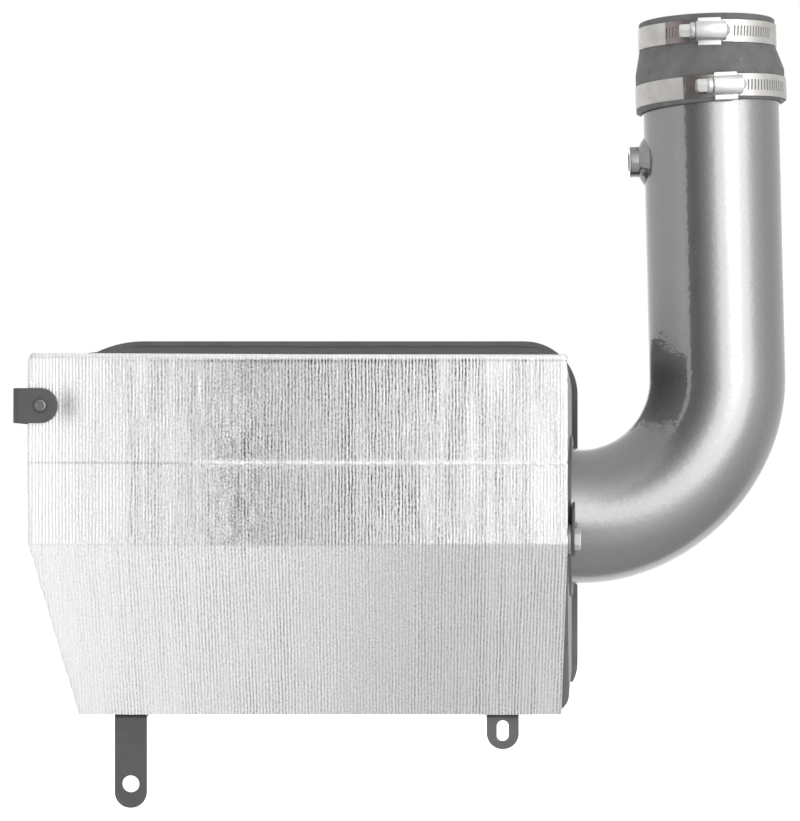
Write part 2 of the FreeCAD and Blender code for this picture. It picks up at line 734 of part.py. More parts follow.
def make_hole_trim():
    """Rubber edging ring in the pipe hole."""
    body = new_body("hole_trim", placed(WALL, axis=(0, -1, 0), turn="90"))
    inner, web = f"{PIPE_RADIUS} + hole_trim_gap", HOLE_RADIUS
    leg = f"{inner} + hole_trim_leg"
    groove = "trim_gap"
    lathe(body, [
        (inner, "-hole_trim_side", "hole_trim_side / 2"),
        (leg, "-hole_trim_side", "hole_trim_side / 3"),
        (leg, f"-{groove} / 4"),
        (f"{web} - {groove}", f"-{groove} / 4"),
        (f"{web} - {groove}", f"shell_wall + {groove} / 4"),
        (leg, f"shell_wall + {groove} / 4"),
        (leg, "shell_wall + hole_trim_side", "hole_trim_side / 3"),
        (inner, "shell_wall + hole_trim_side", "hole_trim_side / 2"),
    ])
    return body


# Brackets
def leg_bracket(label, inset, length):
    """Angle strip riveted under the shell's floor, with its leg hanging behind the facet."""
    body = new_body(label, placed(SHIELD, (f"-{inset}", FOOT, "-shield_drop")))
    side = new_sketch(body, "YZ_Plane")
    add_outline(side, [
        ("0", "0", "bend_inside + bracket_sheet"),
        ("flange_length", "0"),
        ("flange_length", "-bracket_sheet"),
        ("bracket_sheet", "-bracket_sheet", "bend_inside"),
        ("bracket_sheet", f"-{length}"),
        ("0", f"-{length}"),
    ])
    add_feature(body, "Pad", side, "strap_width", Midplane=True)
    bottom, back = -number(length), number("flange_length")
    fillet(body, "strap_width * 0.49", lambda edge: through(edge, "Y", "Z", bottom))
    fillet(body, "bracket_sheet", lambda edge: through(edge, "Z", "Y", back))
    holes = new_sketch(body, "XY_Plane")
    for row in ("rivet_edge", "rivet_edge + rivet_pitch"):
        add_circle(holes, "0", row, RIVET_HOLE)
    add_feature(body, "Pocket", holes, "bracket_sheet * 4", Midplane=True)
    return body


def long_strap():
    """Hanging strap with a round bolt hole."""
    body = leg_bracket("long_strap", "strap_inset", "strap_length")
    hole = new_sketch(body, "XZ_Plane")
    add_circle(hole, "0", "strap_hole_up - strap_length", "strap_hole / 2")
    add_feature(body, "Pocket", hole, "bracket_sheet * 4", Midplane=True)
    return body


def slotted_tab():
    """Short hanging tab with an upright slot."""
    body = leg_bracket("slotted_tab", "slotted_inset", "slotted_length")
    slot = new_sketch(body, "XZ_Plane")
    low, high = "slot_tab_up - slotted_length", "slot_tab_up + slot_tab_length - slotted_length"
    half, round_end = "slot_tab_width / 2", "slot_tab_width * 0.49"
    add_outline(slot, [
        (half, high, round_end),
        (f"-{half}", high, round_end),
        (f"-{half}", low, round_end),
        (half, low, round_end),
    ])
    add_feature(body, "Pocket", slot, "bracket_sheet * 4", Midplane=True)
    return body


def side_bracket():
    """Angle strip on the mat that turns back beside the shell, with a round hole near its end."""
    body = new_body("side_bracket", BRACKET)
    corner = "(bracket_width / 2 - bracket_lap - bracket_stand)"
    plan = new_sketch(body, "XY_Plane")
    add_outline(plan, [
        ("bracket_width / 2", "0"),
        (f"{corner} + bracket_sheet", "0", "bend_inside"),
        (f"{corner} + bracket_sheet", "bracket_back"),
        (corner, "bracket_back"),
        (corner, "-bracket_sheet", "bend_inside + bracket_sheet"),
        ("bracket_width / 2", "-bracket_sheet"),
    ])
    add_feature(body, "Pad", plan, "bracket_width", Midplane=True)
    front, back = number("bracket_width / 2"), number("bracket_back")
    fillet(body, "bracket_width * 0.49", lambda edge: through(edge, "Y", "X", front))
    fillet(body, "bracket_width * 0.49", lambda edge: through(edge, "X", "Y", back))
    rivet = new_sketch(body, "XZ_Plane")
    add_circle(rivet, "0", "0", RIVET_HOLE)
    add_feature(body, "Pocket", rivet, "bracket_sheet * 4", Midplane=True)
    hole = new_sketch(body, "YZ_Plane", shift=corner)
    add_circle(hole, "bracket_back - bracket_width / 2", "0", "bracket_hole / 2")
    add_feature(body, "Pocket", hole, "bracket_sheet * 4", Midplane=True)
    return body


# Rivets
def make_rivet(label, frame, grip):
    """Blind rivet: domed head with its eye, shank through the grip and the swelled tail."""
    body = new_body(label, frame)
    lathe(body, [
        ("0", "rivet_head_rise / 5"),
        ("rivet_eye / 2", "rivet_head_rise / 5"),
        ("rivet_eye / 2", "rivet_head_rise", "rivet_head_rise / 8"),
        ("rivet_head / 2", "rivet_head_rise", "rivet_head_rise * 0.8"),
        ("rivet_head / 2", "0"),
        ("rivet_shank / 2", "0"),
        ("rivet_shank / 2", f"-({grip})"),
        ("rivet_tail / 2", f"-({grip})"),
        ("rivet_tail / 2", f"-({grip}) - rivet_tail_rise", "rivet_tail_rise / 2"),
        ("0", f"-({grip}) - rivet_tail_rise"),
    ])
    return body


def rivet_rows():
    """Return where the floor's rivets stand behind the shell's axis."""
    return [f"{FOOT} + rivet_edge", f"{FOOT} + rivet_edge + rivet_pitch"]


def strap_rivets():
    """Four rivets that hold the two hanging brackets."""
    rivets = []
    for side, inset in (("strap", "strap_inset"), ("slotted", "slotted_inset")):
        for row, back in enumerate(rivet_rows(), start=1):
            spot = (f"-{inset}", back, "-shield_drop - bracket_sheet")
            frame = placed(SHIELD, spot, (1, 0, 0), "180")
            rivets.append(make_rivet(f"{side}_rivet_{row}", frame, "bracket_sheet + shell_wall"))
    group = doc.addObject("Part::Compound", "strap_rivets")
    group.Links = rivets
    return group


# Pipe mount
def mount_tab():
    """Flat ear welded to the pipe, spaced off the side wall by the washer."""
    body = new_body("pipe_mount_tab", WALL)
    plate = new_sketch(body, "YZ_Plane", shift="washer_thick")
    end, top, low = "-bolt_forward - tab_end", "tab_rise - bolt_drop", "-bolt_drop - tab_end"
    root, end_round = "bolt_drop - pipe_outer / 2", "tab_end * 0.9"
    add_outline(plate, [(root, top), (end, top, end_round), (end, low, end_round), (root, low)])
    add_feature(body, "Pad", plate, "tab_thick")
    seat = new_sketch(body, "YZ_Plane", turn_axis=Vector(0, 1, 0), turn="side_draft")
    add_circle(seat, "0", "0", PIPE_RADIUS)
    add_feature(body, "Pocket", seat, "pipe_outer", Midplane=True)
    hole = new_sketch(body, "YZ_Plane")
    add_circle(hole, "-bolt_forward", "-bolt_drop", "bolt_diameter / 2 + bolt_gap")
    add_feature(body, "Pocket", hole, "pipe_outer", Midplane=True)
    return body


def mount_washer():
    """Flat washer between the wall and the ear."""
    body = new_body("mount_washer", SCREW)
    lathe(body, [
        ("bolt_diameter / 2 + bolt_gap", "0"),
        ("washer_outer / 2", "0", "washer_thick / 5"),
        ("washer_outer / 2", "washer_thick", "washer_thick / 5"),
        ("bolt_diameter / 2 + bolt_gap", "washer_thick"),
    ])
    return body


def mount_bolt():
    """Hexagon screw through the ear, the washer and the wall."""
    body = new_body("mount_bolt", SCREW)
    seat = "washer_thick + tab_thick"
    reach = "shell_wall + nut_thick + bolt_beyond"
    lathe(body, [
        ("0", f"-({reach})"),
        ("bolt_diameter / 2", f"-({reach})", "bolt_diameter / 8"),
        ("bolt_diameter / 2", seat),
        ("0", seat),
    ])
    head = new_sketch(body, "XY_Plane", shift=seat)
    add_hexagon(head, "bolt_flats")
    add_feature(body, "Pad", head, "bolt_head")
    top = number(f"{seat} + bolt_head")
    fillet(body, "bolt_head / 6", lambda edge: level(edge, "Z", top))
    return body


def mount_nut():
    """Hexagon nut inside the wall."""
    body = new_body("mount_nut", SCREW)
    outline = new_sketch(body, "XY_Plane", shift="-shell_wall - nut_thick")
    add_hexagon(outline, "nut_flats")
    add_circle(outline, "0", "0", "bolt_diameter / 2 + band_gap")
    add_feature(body, "Pad", outline, "nut_thick")
    return body


# The three clamps: the frame each closes in, how far along it, its turn and what it closes over
CLAMPS = {
    "upper": (UPPER, "-upper_clamp_drop", "upper_clamp_turn", "port_bore / 2 + hose_wall"),
    "lower": (UPPER, "-lower_clamp_drop", "lower_clamp_turn", "pipe_outer / 2 + hose_fit + hose_wall"),
    "filter": (
        INWARD,
        f"{NECK_START} + neck_length * 0.4",
        "filter_clamp_turn",
        "pipe_outer / 2 + hose_fit + neck_wall",
    ),
}

pieces = [make_pipe(), make_bung(), make_hose()]
for name, (carrier, along, turn, rubber) in CLAMPS.items():
    frame = placed(carrier, ("0", "0", along), turn=turn)
    pieces += make_clamp(f"{name}_clamp", frame, f"({rubber} + band_gap)")
pieces += [filter_flange(), filter_media(), filter_cap()]
pieces += [make_shell(), make_mat(), make_rim_trim(), make_hole_trim()]
pieces += [side_bracket(), long_strap(), slotted_tab()]
pieces += [make_rivet("bracket_rivet", BRACKET_RIVET, "bracket_sheet + mat_thick + shell_wall"), strap_rivets()]
pieces += [mount_tab(), mount_washer(), mount_bolt(), mount_nut()]
doc.recompute()

for item in doc.Objects:
    if any(state in ("Invalid", "Error") for state in item.State):
        raise RuntimeError(f"{item.Name} failed: {item.State}")
os.makedirs("parts", exist_ok=True)
for piece in pieces:
    shape = piece.Shape
    if shape.isNull() or not shape.isValid():
        raise RuntimeError(f"{piece.Name} has no valid shape")
    shape.exportStep(f"parts/{piece.Name}.step")
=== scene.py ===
"""Cold air intake: a bent metal pipe with its reducer hose, clamps and cone filter, in a foil-lined shield.

Every length in the classes is in millimetres, in the part's own frame: the origin is the centre of the
port, +X points away from the shield, +Z is up and -Y is the foil-lined front.
"""

import logging
import math
from dataclasses import dataclass, replace
from enum import Enum

import bmesh
import bpy
import numpy as np
from mathutils import Matrix, Vector


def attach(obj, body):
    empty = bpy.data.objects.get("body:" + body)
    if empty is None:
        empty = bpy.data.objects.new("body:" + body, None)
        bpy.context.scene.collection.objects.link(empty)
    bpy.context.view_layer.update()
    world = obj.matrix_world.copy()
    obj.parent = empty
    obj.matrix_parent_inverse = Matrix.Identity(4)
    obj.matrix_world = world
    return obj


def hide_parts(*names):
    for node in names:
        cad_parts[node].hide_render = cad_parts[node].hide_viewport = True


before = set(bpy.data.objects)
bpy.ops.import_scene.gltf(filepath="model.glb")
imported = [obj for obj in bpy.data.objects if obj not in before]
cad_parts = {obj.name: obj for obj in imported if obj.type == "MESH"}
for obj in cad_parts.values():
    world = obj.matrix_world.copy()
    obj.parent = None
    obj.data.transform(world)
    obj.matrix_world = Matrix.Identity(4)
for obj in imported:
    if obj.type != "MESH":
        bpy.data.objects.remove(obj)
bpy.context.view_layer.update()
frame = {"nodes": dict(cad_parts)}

log = logging.getLogger("cold_air_intake")
MM = 0.001
Points = np.ndarray
Faces = list[list[int]]
Piece = bpy.types.Object
Material = bpy.types.Material
Socket = bpy.types.NodeSocket
Values = dict[int | str, object]
Triple = tuple[float, float, float]


class Shading(Enum):
    """How sharply two faces may meet, in degrees, and still be shaded as one."""

    SOFT = 50.0
    MACHINED = 32.0


# Places
def shift(x: float = 0.0, y: float = 0.0, z: float = 0.0) -> Points:
    """Return a 4 x 4 move by (x, y, z)."""
    return np.array(Matrix.Translation((x, y, z)))


def turn(degrees: float, axis: Triple) -> Points:
    """Return a 4 x 4 turn about an axis through the origin."""
    return np.array(Matrix.Rotation(math.radians(degrees), 4, Vector(axis)))


def put(place: Points, points: Points) -> Points:
    """Carry points of shape (..., 3) by a 4 x 4 place."""
    return points @ place[:3, :3].T + place[:3, 3]


# Formulas
def smooth(value: Points, low: float, high: float) -> Points:
    """Return a soft step s * s * (3 - 2 s) from 0 at low to 1 at high."""
    share = np.clip((value - low) / (high - low), 0, 1)
    return share * share * (3 - 2 * share)


def bell(value: Points, middle: Points | float, width: Points | float) -> Points:
    """Return exp(-((value - middle) / width) ** 2)."""
    return np.exp(-(((value - middle) / width) ** 2))


def sigmoid(value: Points) -> Points:
    """Return 1 / (1 + exp(-value))."""
    return 0.5 + 0.5 * np.tanh(value / 2)


def blend(first: Points, second: Points, share: Points) -> Points:
    """Return the mix of two values, all of the second at a share of 1."""
    return first * (1 - share) + second * share


def value_noise(rows: int, columns: int, coarse: tuple[int, int], seed: int) -> Points:
    """Return smooth noise between -1 and 1: seeded values on a coarse grid, joined by soft steps."""
    seeds = np.random.default_rng(seed).uniform(-1, 1, (coarse[0] + 1, coarse[1] + 1))
    down, across = [np.linspace(0, cells - 1e-6, count) for cells, count in zip(coarse, (rows, columns))]
    i, j = down.astype(int), across.astype(int)
    s, t = smooth(down - i, 0, 1)[:, None], smooth(across - j, 0, 1)[None]
    near, far = [blend(seeds[np.ix_(k, j)], seeds[np.ix_(k, j + 1)], t) for k in (i, i + 1)]
    return blend(near, far, s)


# Meshes
def skin(
    name: str,
    points: Points,
    faces: Faces,
    shading: Shading = Shading.MACHINED,
    uv: Points | None = None,
) -> Piece:
    """Make a piece from points in millimetres, with its doubles merged and its faces turned outwards.

    Args:
        name: the piece's name.
        points: one row of x, y, z per vertex.
        faces: the vertex numbers of each face.
        shading: how sharp an edge has to be to stay an edge.
        uv: one row of u, v per face corner, in face order, or None.

    Returns:
        The new object, at the origin.
    """
    mesh = bpy.data.meshes.new(name)
    mesh.from_pydata((points * MM).tolist(), [], faces)
    if uv is not None:
        layer = mesh.uv_layers.new(name="surface")
        layer.data.foreach_set("uv", uv.astype(np.float32).ravel())
    form = bmesh.new()
    form.from_mesh(mesh)
    bmesh.ops.remove_doubles(form, verts=form.verts, dist=2e-6)
    bmesh.ops.recalc_face_normals(form, faces=form.faces)
    form.to_mesh(mesh)
    form.free()
    mesh.shade_smooth()
    mesh.set_sharp_from_angle(angle=math.radians(shading.value))
    piece = bpy.data.objects.new(name, mesh)
    bpy.context.scene.collection.objects.link(piece)
    return piece


def quads(rows: int, columns: int, around: bool = True, along: bool = False) -> Points:
    """Number the four corners of each cell of a grid, closed across its columns or rows if asked."""
    index = np.arange(rows * columns).reshape(rows, columns)
    if around:
        index = np.concatenate([index, index[:, :1]], axis=1)
    if along:
        index = np.concatenate([index, index[:1]], axis=0)
    cells = [index[:-1, :-1], index[:-1, 1:], index[1:, 1:], index[1:, :-1]]
    return np.stack(cells, axis=-1).reshape(-1, 4)


def between(first: Points, second: Points) -> Points:
    """Number the corners of the cells between two closed loops of vertex numbers."""
    return np.stack([first, np.roll(first, -1, -1), np.roll(second, -1, -1), second], axis=-1)


def capped(rows: int, columns: int) -> Faces:
    """Number the faces of a stack of rings that is closed at both ends."""
    index = np.arange(rows * columns).reshape(rows, columns)
    return quads(rows, columns).tolist() + index[[0, -1]].tolist()


def joined(parts: list[tuple[Points, Faces]]) -> tuple[Points, Faces]:
    """Join the points and the faces of several forms."""
    faces, start = [], 0
    for points, cells in parts:
        faces += [[k + start for k in cell] for cell in cells]
        start += len(points)
    return np.concatenate([points for points, _ in parts]), faces


def grid_skin(name: str, grid: Points, along: bool = True, shading: Shading = Shading.MACHINED) -> Piece:
    """Skin a grid that is closed across; its UV map holds metres along the rows and the columns.

    Args:
        name: the piece's name.
        grid: the points (rows, columns, 3), in millimetres.
        along: whether the last row meets the first.
        shading: how sharp an edge has to be to stay an edge.

    Returns:
        The new object.
    """
    rows, columns = grid.shape[:2]
    cells = quads(rows, columns, True, along)
    looped = np.concatenate([grid, grid[:, :1]], axis=1)
    across = np.linalg.norm(np.diff(looped, axis=1), axis=2).max(axis=0).cumsum()
    down = np.linalg.norm(np.diff(grid, axis=0), axis=2).max(axis=1).cumsum()
    across, down = np.append(0, across) * MM, np.append(np.append(0, down), 0) * MM
    row, column = np.divmod(np.arange(len(cells)), columns)
    u = np.stack([across[column], across[column + 1], across[column + 1], across[column]], axis=1)
    v = np.stack([down[row], down[row], down[row + 1], down[row + 1]], axis=1)
    uv = np.stack([u, v], axis=-1).reshape(-1, 2)
    return skin(name, grid.reshape(-1, 3), cells.tolist(), shading, uv)


def rounded(corners: list[Triple], steps: int, closed: bool = False) -> Points:
    """Round a chain of plane corners with arcs.

    Args:
        corners: (across, up, radius) of each corner, in order.
        steps: how many pieces each arc has.
        closed: whether the chain comes back to its start.

    Returns:
        The points (n, 2). Each arc has its centre at corner + bisector * radius / sin(half angle).
    """
    plan = np.array([corner[:2] for corner in corners], float)
    share = np.linspace(0, 1, steps + 1)[:, None]
    chain = []
    for i, (corner, (_, _, radius)) in enumerate(zip(plan, corners)):
        if radius <= 0 or not (closed or 0 < i < len(corners) - 1):
            chain.append(corner[None])
            continue
        sides = np.array([plan[i - 1], plan[(i + 1) % len(plan)]]) - corner
        sides /= np.linalg.norm(sides, axis=1)[:, None]
        half = math.acos(float(np.clip(sides[0] @ sides[1], -1, 1))) / 2
        bisector = sides[0] + sides[1]
        middle = corner + bisector / np.linalg.norm(bisector) * radius / math.sin(half)
        first, last = corner + sides * radius / math.tan(half) - middle
        angle = math.pi - 2 * half
        arc = np.sin((1 - share) * angle) * first + np.sin(share * angle) * last
        chain.append(middle + arc / math.sin(angle))
    return np.concatenate(chain)


def revolve(profile: Points, columns: int) -> Points:
    """Turn a half section about Z: the point (r, z) goes to (r cos a, r sin a, z) for a all round."""
    angle = np.linspace(0, 2 * np.pi, columns, endpoint=False)
    ring = np.stack([np.cos(angle), np.sin(angle), np.zeros_like(angle)], axis=1)
    return profile[:, None, :1] * ring[None] + profile[:, None, 1:] * np.array([0, 0, 1])


def install(piece: Piece, slot: str, nodes: list[str], *finishes: Material) -> None:
    """Dress a piece, let it ride on the part and hide the solids it replaces."""
    for finish in finishes:
        piece.data.materials.append(finish)
    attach(piece, "root")
    if nodes:
        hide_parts(*nodes)
    log.info("built %s, %d faces", piece.name, len(piece.data.polygons))


# Finishes
class Graph:
    """A node tree, with short calls for its nodes."""

    def __init__(self, tree: bpy.types.NodeTree) -> None:
        """Take the tree."""
        self.tree = tree

    def node(self, kind: str, values: Values | None = None, **settings: object) -> bpy.types.Node:
        """Add a node; a value that is a socket is linked and any other is set."""
        node = self.tree.nodes.new(f"ShaderNode{kind}")
        for name, value in settings.items():
            setattr(node, name, value)
        for key, value in (values or {}).items():
            if isinstance(value, Socket):
                self.tree.links.new(value, node.inputs[key])
            else:
                node.inputs[key].default_value = value
        return node

    def math(self, kind: str, first: object, second: object = 0.0) -> Socket:
        """Return the result of a sum on two values or sockets."""
        return self.node("Math", {0: first, 1: second}, operation=kind).outputs[0]

    def span(
        self, value: Socket, low: float, high: float, start: float = 0.3, end: float = 0.7, **settings: object
    ) -> Socket:
        """Map a value from start..end onto low..high."""
        values = {0: value, 1: start, 2: end, 3: low, 4: high}
        return self.node("MapRange", values, **settings).outputs[0]

    def ramp(self, value: Socket, stops: list[tuple[float, Triple]]) -> Socket:
        """Turn a value into a colour through the given stops."""
        ramp = self.node("ValToRGB", {0: value})
        elements = ramp.color_ramp.elements
        while len(elements) < len(stops):
            elements.new(0.5)
        for element, (position, colour) in zip(elements, stops):
            element.position, element.color = position, (*colour, 1.0)
        return ramp.outputs[0]


class Recipe(Graph):
    """A material's node tree, with its shader and its coordinates."""

    def __init__(self, name: str, **values: object) -> None:
        """Start a material that has only its shader, and set that; an underscore stands for a blank."""
        self.material = bpy.data.materials.new(name)
        self.material.use_nodes = True
        super().__init__(self.material.node_tree)
        self.shader = self.tree.nodes["Principled BSDF"]
        self.places = self.tree.nodes.new("ShaderNodeTexCoord").outputs
        for key, value in values.items():
            self.shader.inputs[key.replace("_", " ")].default_value = value

    def link(self, socket: Socket, name: str) -> None:
        """Feed one of the shader's sockets."""
        self.tree.links.new(socket, self.shader.inputs[name])

    def noise(self, scale: float | Triple, detail: float = 3.0, source: str = "Object") -> Socket:
        """Return noise about 0.5, as fine as the scale says, or as it says along each axis."""
        where = self.places[source]
        if isinstance(scale, tuple):
            where, scale = self.node("Mapping", {0: where, 3: scale}).outputs[0], 1.0
        return self.node("TexNoise", {0: where, "Scale": scale, "Detail": detail}).outputs[0]

    def tint(self, cloud: Socket, colour: Triple, *gains: tuple[float, float]) -> None:
        """Colour the surface by a cloud: the colour times a gain at each (level, gain) of it."""
        stops = [(level, tuple(part * gain for part in colour)) for level, gain in gains]
        self.link(self.ramp(cloud, stops), "Base Color")

    def grey(self, level: Socket) -> None:
        """Colour the surface in grey by a level."""
        self.link(self.node("CombineColor", {0: level, 1: level, 2: level}).outputs[0], "Base Color")

    def rough(self, cloud: Socket, low: float, high: float) -> None:
        """Vary the roughness by a cloud."""
        self.link(self.span(cloud, low, high), "Roughness")

    def emboss(self, height: Socket, depth: float, strength: float = 1.0, name: str = "Normal") -> None:
        """Raise the surface by height times depth metres."""
        values = {"Strength": strength, "Distance": depth, "Height": height}
        self.link(self.node("Bump", values).outputs[0], name)


@dataclass(frozen=True)
class ClearCoatedMetal:
    """Gunmetal flake finish under a sharp clear coat that is slightly wavy."""

    colour: Triple = (0.225, 0.22, 0.22)
    roughness: float = 0.34
    coat_roughness: float = 0.03
    coat_ior: float = 2.2

    def make(self) -> Material:
        """Return the material: fine flakes vary colour and height, the coat has waves of its own."""
        coat = {"Coat_Weight": 1.0, "Coat_Roughness": self.coat_roughness, "Coat_IOR": self.coat_ior}
        recipe = Recipe("clear_coated_metal", Metallic=1.0, **coat)
        recipe.tint(recipe.noise(1500.0, 2.0), self.colour, (0.32, 0.86), (0.68, 1.14))
        recipe.rough(recipe.noise(30.0, 4.0), self.roughness - 0.03, self.roughness + 0.03)
        recipe.emboss(recipe.noise(1100.0, 2.0), 0.00005, 0.5)
        recipe.emboss(recipe.noise(260.0), 0.00012, name="Coat Normal")
        return recipe.material


@dataclass(frozen=True)
class Rubber:
    """Plain rubber with a little dust, a few light specks and fine skin."""

    name: str
    level: float
    roughness: float
    dust: float

    def make(self) -> Material:
        """Return the material: clouds of dust lighten it, fine noise roughens its skin."""
        recipe = Recipe(self.name)
        clean, dust_and_lit_level = self.level * (1 - self.dust * 0.4), self.level * (1 + self.dust)
        cloud = recipe.span(recipe.noise(60.0, 5.0), clean, dust_and_lit_level, 0.35)
        specks = recipe.span(recipe.noise(520.0, 1.0), 0.0, self.level * 2.0, 0.76, 0.84)
        recipe.grey(recipe.math("ADD", cloud, specks))
        recipe.rough(recipe.noise(300.0), self.roughness - 0.08, self.roughness + 0.1)
        recipe.emboss(recipe.noise(1800.0, 2.0), 0.00006, 0.4)
        return recipe.material


@dataclass(frozen=True)
class Steel:
    """Bright steel with fine drawn lines along one axis of its surface."""

    name: str
    colour: Triple
    roughness: float
    lines: Triple = (60.0, 2400.0, 1.0)
    source: str = "UV"

    def make(self) -> Material:
        """Return the material: noise stretched along the lines varies roughness and height."""
        recipe = Recipe(self.name, Metallic=1.0)
        drawn = recipe.noise(self.lines, 2.0, self.source)
        recipe.tint(recipe.noise(90.0, 4.0), self.colour, (0.35, 0.88), (0.65, 1.08))
        recipe.rough(drawn, self.roughness - 0.06, self.roughness + 0.1)
        recipe.emboss(drawn, 0.00003, 0.35)
        return recipe.material


@dataclass(frozen=True)
class Foil:
    """Embossed aluminium foil over woven glass, torn in some places, its tone painted lighter and darker by
    place.

    The painted tone stands in for the light and reflections the foil catches. The mesh's colour attribute
    holds the tone in red, the depth of the ribs' lines of painted shade in green and the share of the bare
    weave in blue.
    """

    pitch: float
    roughness: float = 0.46
    metallic: float = 0.5

    def make(self) -> Material:
        """Return the material: dark lines of painted shade between the ribs, broken along their length by the
        weave.
        """
        recipe = Recipe("ribbed_foil", Metallic=self.metallic, Roughness=self.roughness)
        math_of, span, noise = recipe.math, recipe.span, recipe.noise
        painted_light_and_wear = recipe.node("Attribute", attribute_name="painted_light_and_wear").outputs[0]
        tone, lines, weave = recipe.node("SeparateColor", {0: painted_light_and_wear}).outputs[:3]
        along = recipe.node("SeparateXYZ", {0: recipe.places["UV"]}).outputs[0]
        wander = span(noise((300.0, 1.0, 60.0), 2.0), -0.9, 0.9)
        turns = math_of("ADD", math_of("MULTIPLY", along, 2 * math.pi / (self.pitch * MM)), wander)
        # Painted shade: the grooves between the ribs are darkened by the attribute's green
        groove = span(math_of("COSINE", turns), 0.0, 1.0, -0.85, 1.0)
        broken = span(noise((1500.0, 1.0, 620.0), 2.0), 0.5, 1.0, 0.38, 0.6)
        depth = math_of("MULTIPLY", math_of("MULTIPLY", groove, lines), broken)
        cloth = span(noise((900.0, 1.0, 900.0)), -1.0, 1.0)
        dark = math_of("ADD", depth, math_of("MULTIPLY", cloth, weave))
        recipe.grey(math_of("SUBTRACT", tone, dark))
        recipe.emboss(noise((1100.0, 1.0, 520.0)), 0.00025, 0.6)
        return recipe.material


@dataclass(frozen=True)
class Fibre:
    """Cut edge of the mat: matted fibre under the foil."""

    colour: Triple = (0.62, 0.55, 0.47)
    roughness: float = 0.9

    def make(self) -> Material:
        """Return the material: tangled noise for colour and height."""
        recipe = Recipe("cut_fibre", Roughness=self.roughness)
        tangle = recipe.noise((700.0, 2400.0, 500.0), 5.0)
        recipe.tint(tangle, self.colour, (0.35, 0.6), (0.6, 1.0))
        recipe.emboss(tangle, 0.0004, 0.7)
        return recipe.material


@dataclass(frozen=True)
class Paint:
    """Satin paint or coating with faint orange peel."""

    name: str
    level: float
    roughness: float = 0.45
    metallic: float = 0.0

    def make(self) -> Material:
        """Return the material: clouds vary its tone, fine noise its skin."""
        recipe = Recipe(self.name, Metallic=self.metallic)
        recipe.tint(recipe.noise(70.0, 5.0), (self.level,) * 3, (0.3, 0.9), (0.7, 1.1))
        recipe.rough(recipe.noise(240.0), self.roughness - 0.06, self.roughness + 0.08)
        recipe.emboss(recipe.noise(900.0, 2.0), 0.00005, 0.35)
        return recipe.material


@dataclass(frozen=True)
class ShellSheet:
    """Dark coated sheet, painted lighter on its right wall for the light it catches there, and glossier
    there.
    """

    level: float = 0.052
    # Tone of the right wall, painted lighter for the light it catches
    dust_and_lit_level: float = 0.15
    roughness: float = 0.85
    wall_roughness: float = 0.42
    specular: float = 0.2
    wall: float = -0.095
    step: float = 0.002

    def make(self) -> Material:
        """Return the material: it changes where x passes the wall to a lighter tone of painted light, clouds
        vary its tone.
        """
        recipe = Recipe("shell_sheet", Specular_IOR_Level=self.specular)
        along = recipe.node("SeparateXYZ", {0: recipe.places["Object"]}).outputs[0]
        ends = self.wall - self.step, self.wall + self.step
        cloud = recipe.span(recipe.noise(70.0, 5.0), 0.85, 1.15)
        recipe.grey(recipe.math("MULTIPLY", recipe.span(along, self.level, self.dust_and_lit_level, *ends), cloud))
        recipe.link(recipe.span(along, self.roughness, self.wall_roughness, *ends), "Roughness")
        recipe.emboss(recipe.noise(900.0, 2.0), 0.00005, 0.35)
        return recipe.material


@dataclass(frozen=True)
class Gauze:
    """Oiled cotton gauze of the filter's pleats."""

    colour: Triple = (0.33, 0.055, 0.05)
    roughness: float = 0.7
    sheen: float = 0.3
    threads: float = 260.0

    def make(self) -> Material:
        """Return the material: a fine crossed weave in height, blotches of oil in colour."""
        recipe = Recipe("oiled_gauze", Roughness=self.roughness, Sheen_Weight=self.sheen)
        values = {0: recipe.places["Object"], "Scale": self.threads}
        weave = [recipe.node("TexWave", values, bands_direction=axis).outputs[1] for axis in ("X", "Z")]
        recipe.tint(recipe.noise(40.0, 4.0), self.colour, (0.35, 0.55), (0.65, 1.0))
        recipe.emboss(recipe.math("ADD", *weave), 0.0002, 0.5)
        return recipe.material


class Finishes:
    """The materials, each made once."""

    def __init__(self) -> None:
        """Make them all."""
        self.pipe = ClearCoatedMetal().make()
        self.hose = Rubber("hose_rubber", 0.12, 0.6, 0.35).make()
        self.swell = Rubber("slot_rubber", 0.24, 0.6, 0.3).make()
        self.trim = Rubber("trim_rubber", 0.15, 0.5, 0.2).make()
        self.moulded = Rubber("moulded_rubber", 0.035, 0.5, 0.3).make()
        self.band = Steel("band_steel", (0.67, 0.655, 0.625), 0.44).make()
        # The tail's steel is darker than the band's: painted shade under the screw's head
        self.tail = Steel("shaded_tail_steel", (0.3, 0.27, 0.26), 0.3).make()
        self.housing = Steel("housing_steel", (0.92, 0.92, 0.91), 0.48, (40.0, 60.0, 40.0), "Object").make()
        self.screw = Steel("screw_steel", (0.78, 0.78, 0.77), 0.32, (60.0, 60.0, 60.0), "Object").make()
        self.bolt = Paint("bolt_zinc", 0.6, 0.42, 0.35).make()
        self.foil = Foil(Mat.rib_pitch).make()
        self.fibre = Fibre().make()
        self.shell = ShellSheet().make()
        self.bracket = Paint("bracket_coat", 0.063).make()
        self.tab = Paint("tab_coat", 0.085).make()
        self.rivet = Paint("rivet_metal", 0.16, 0.24, 0.9).make()
        self.gauze = Gauze().make()


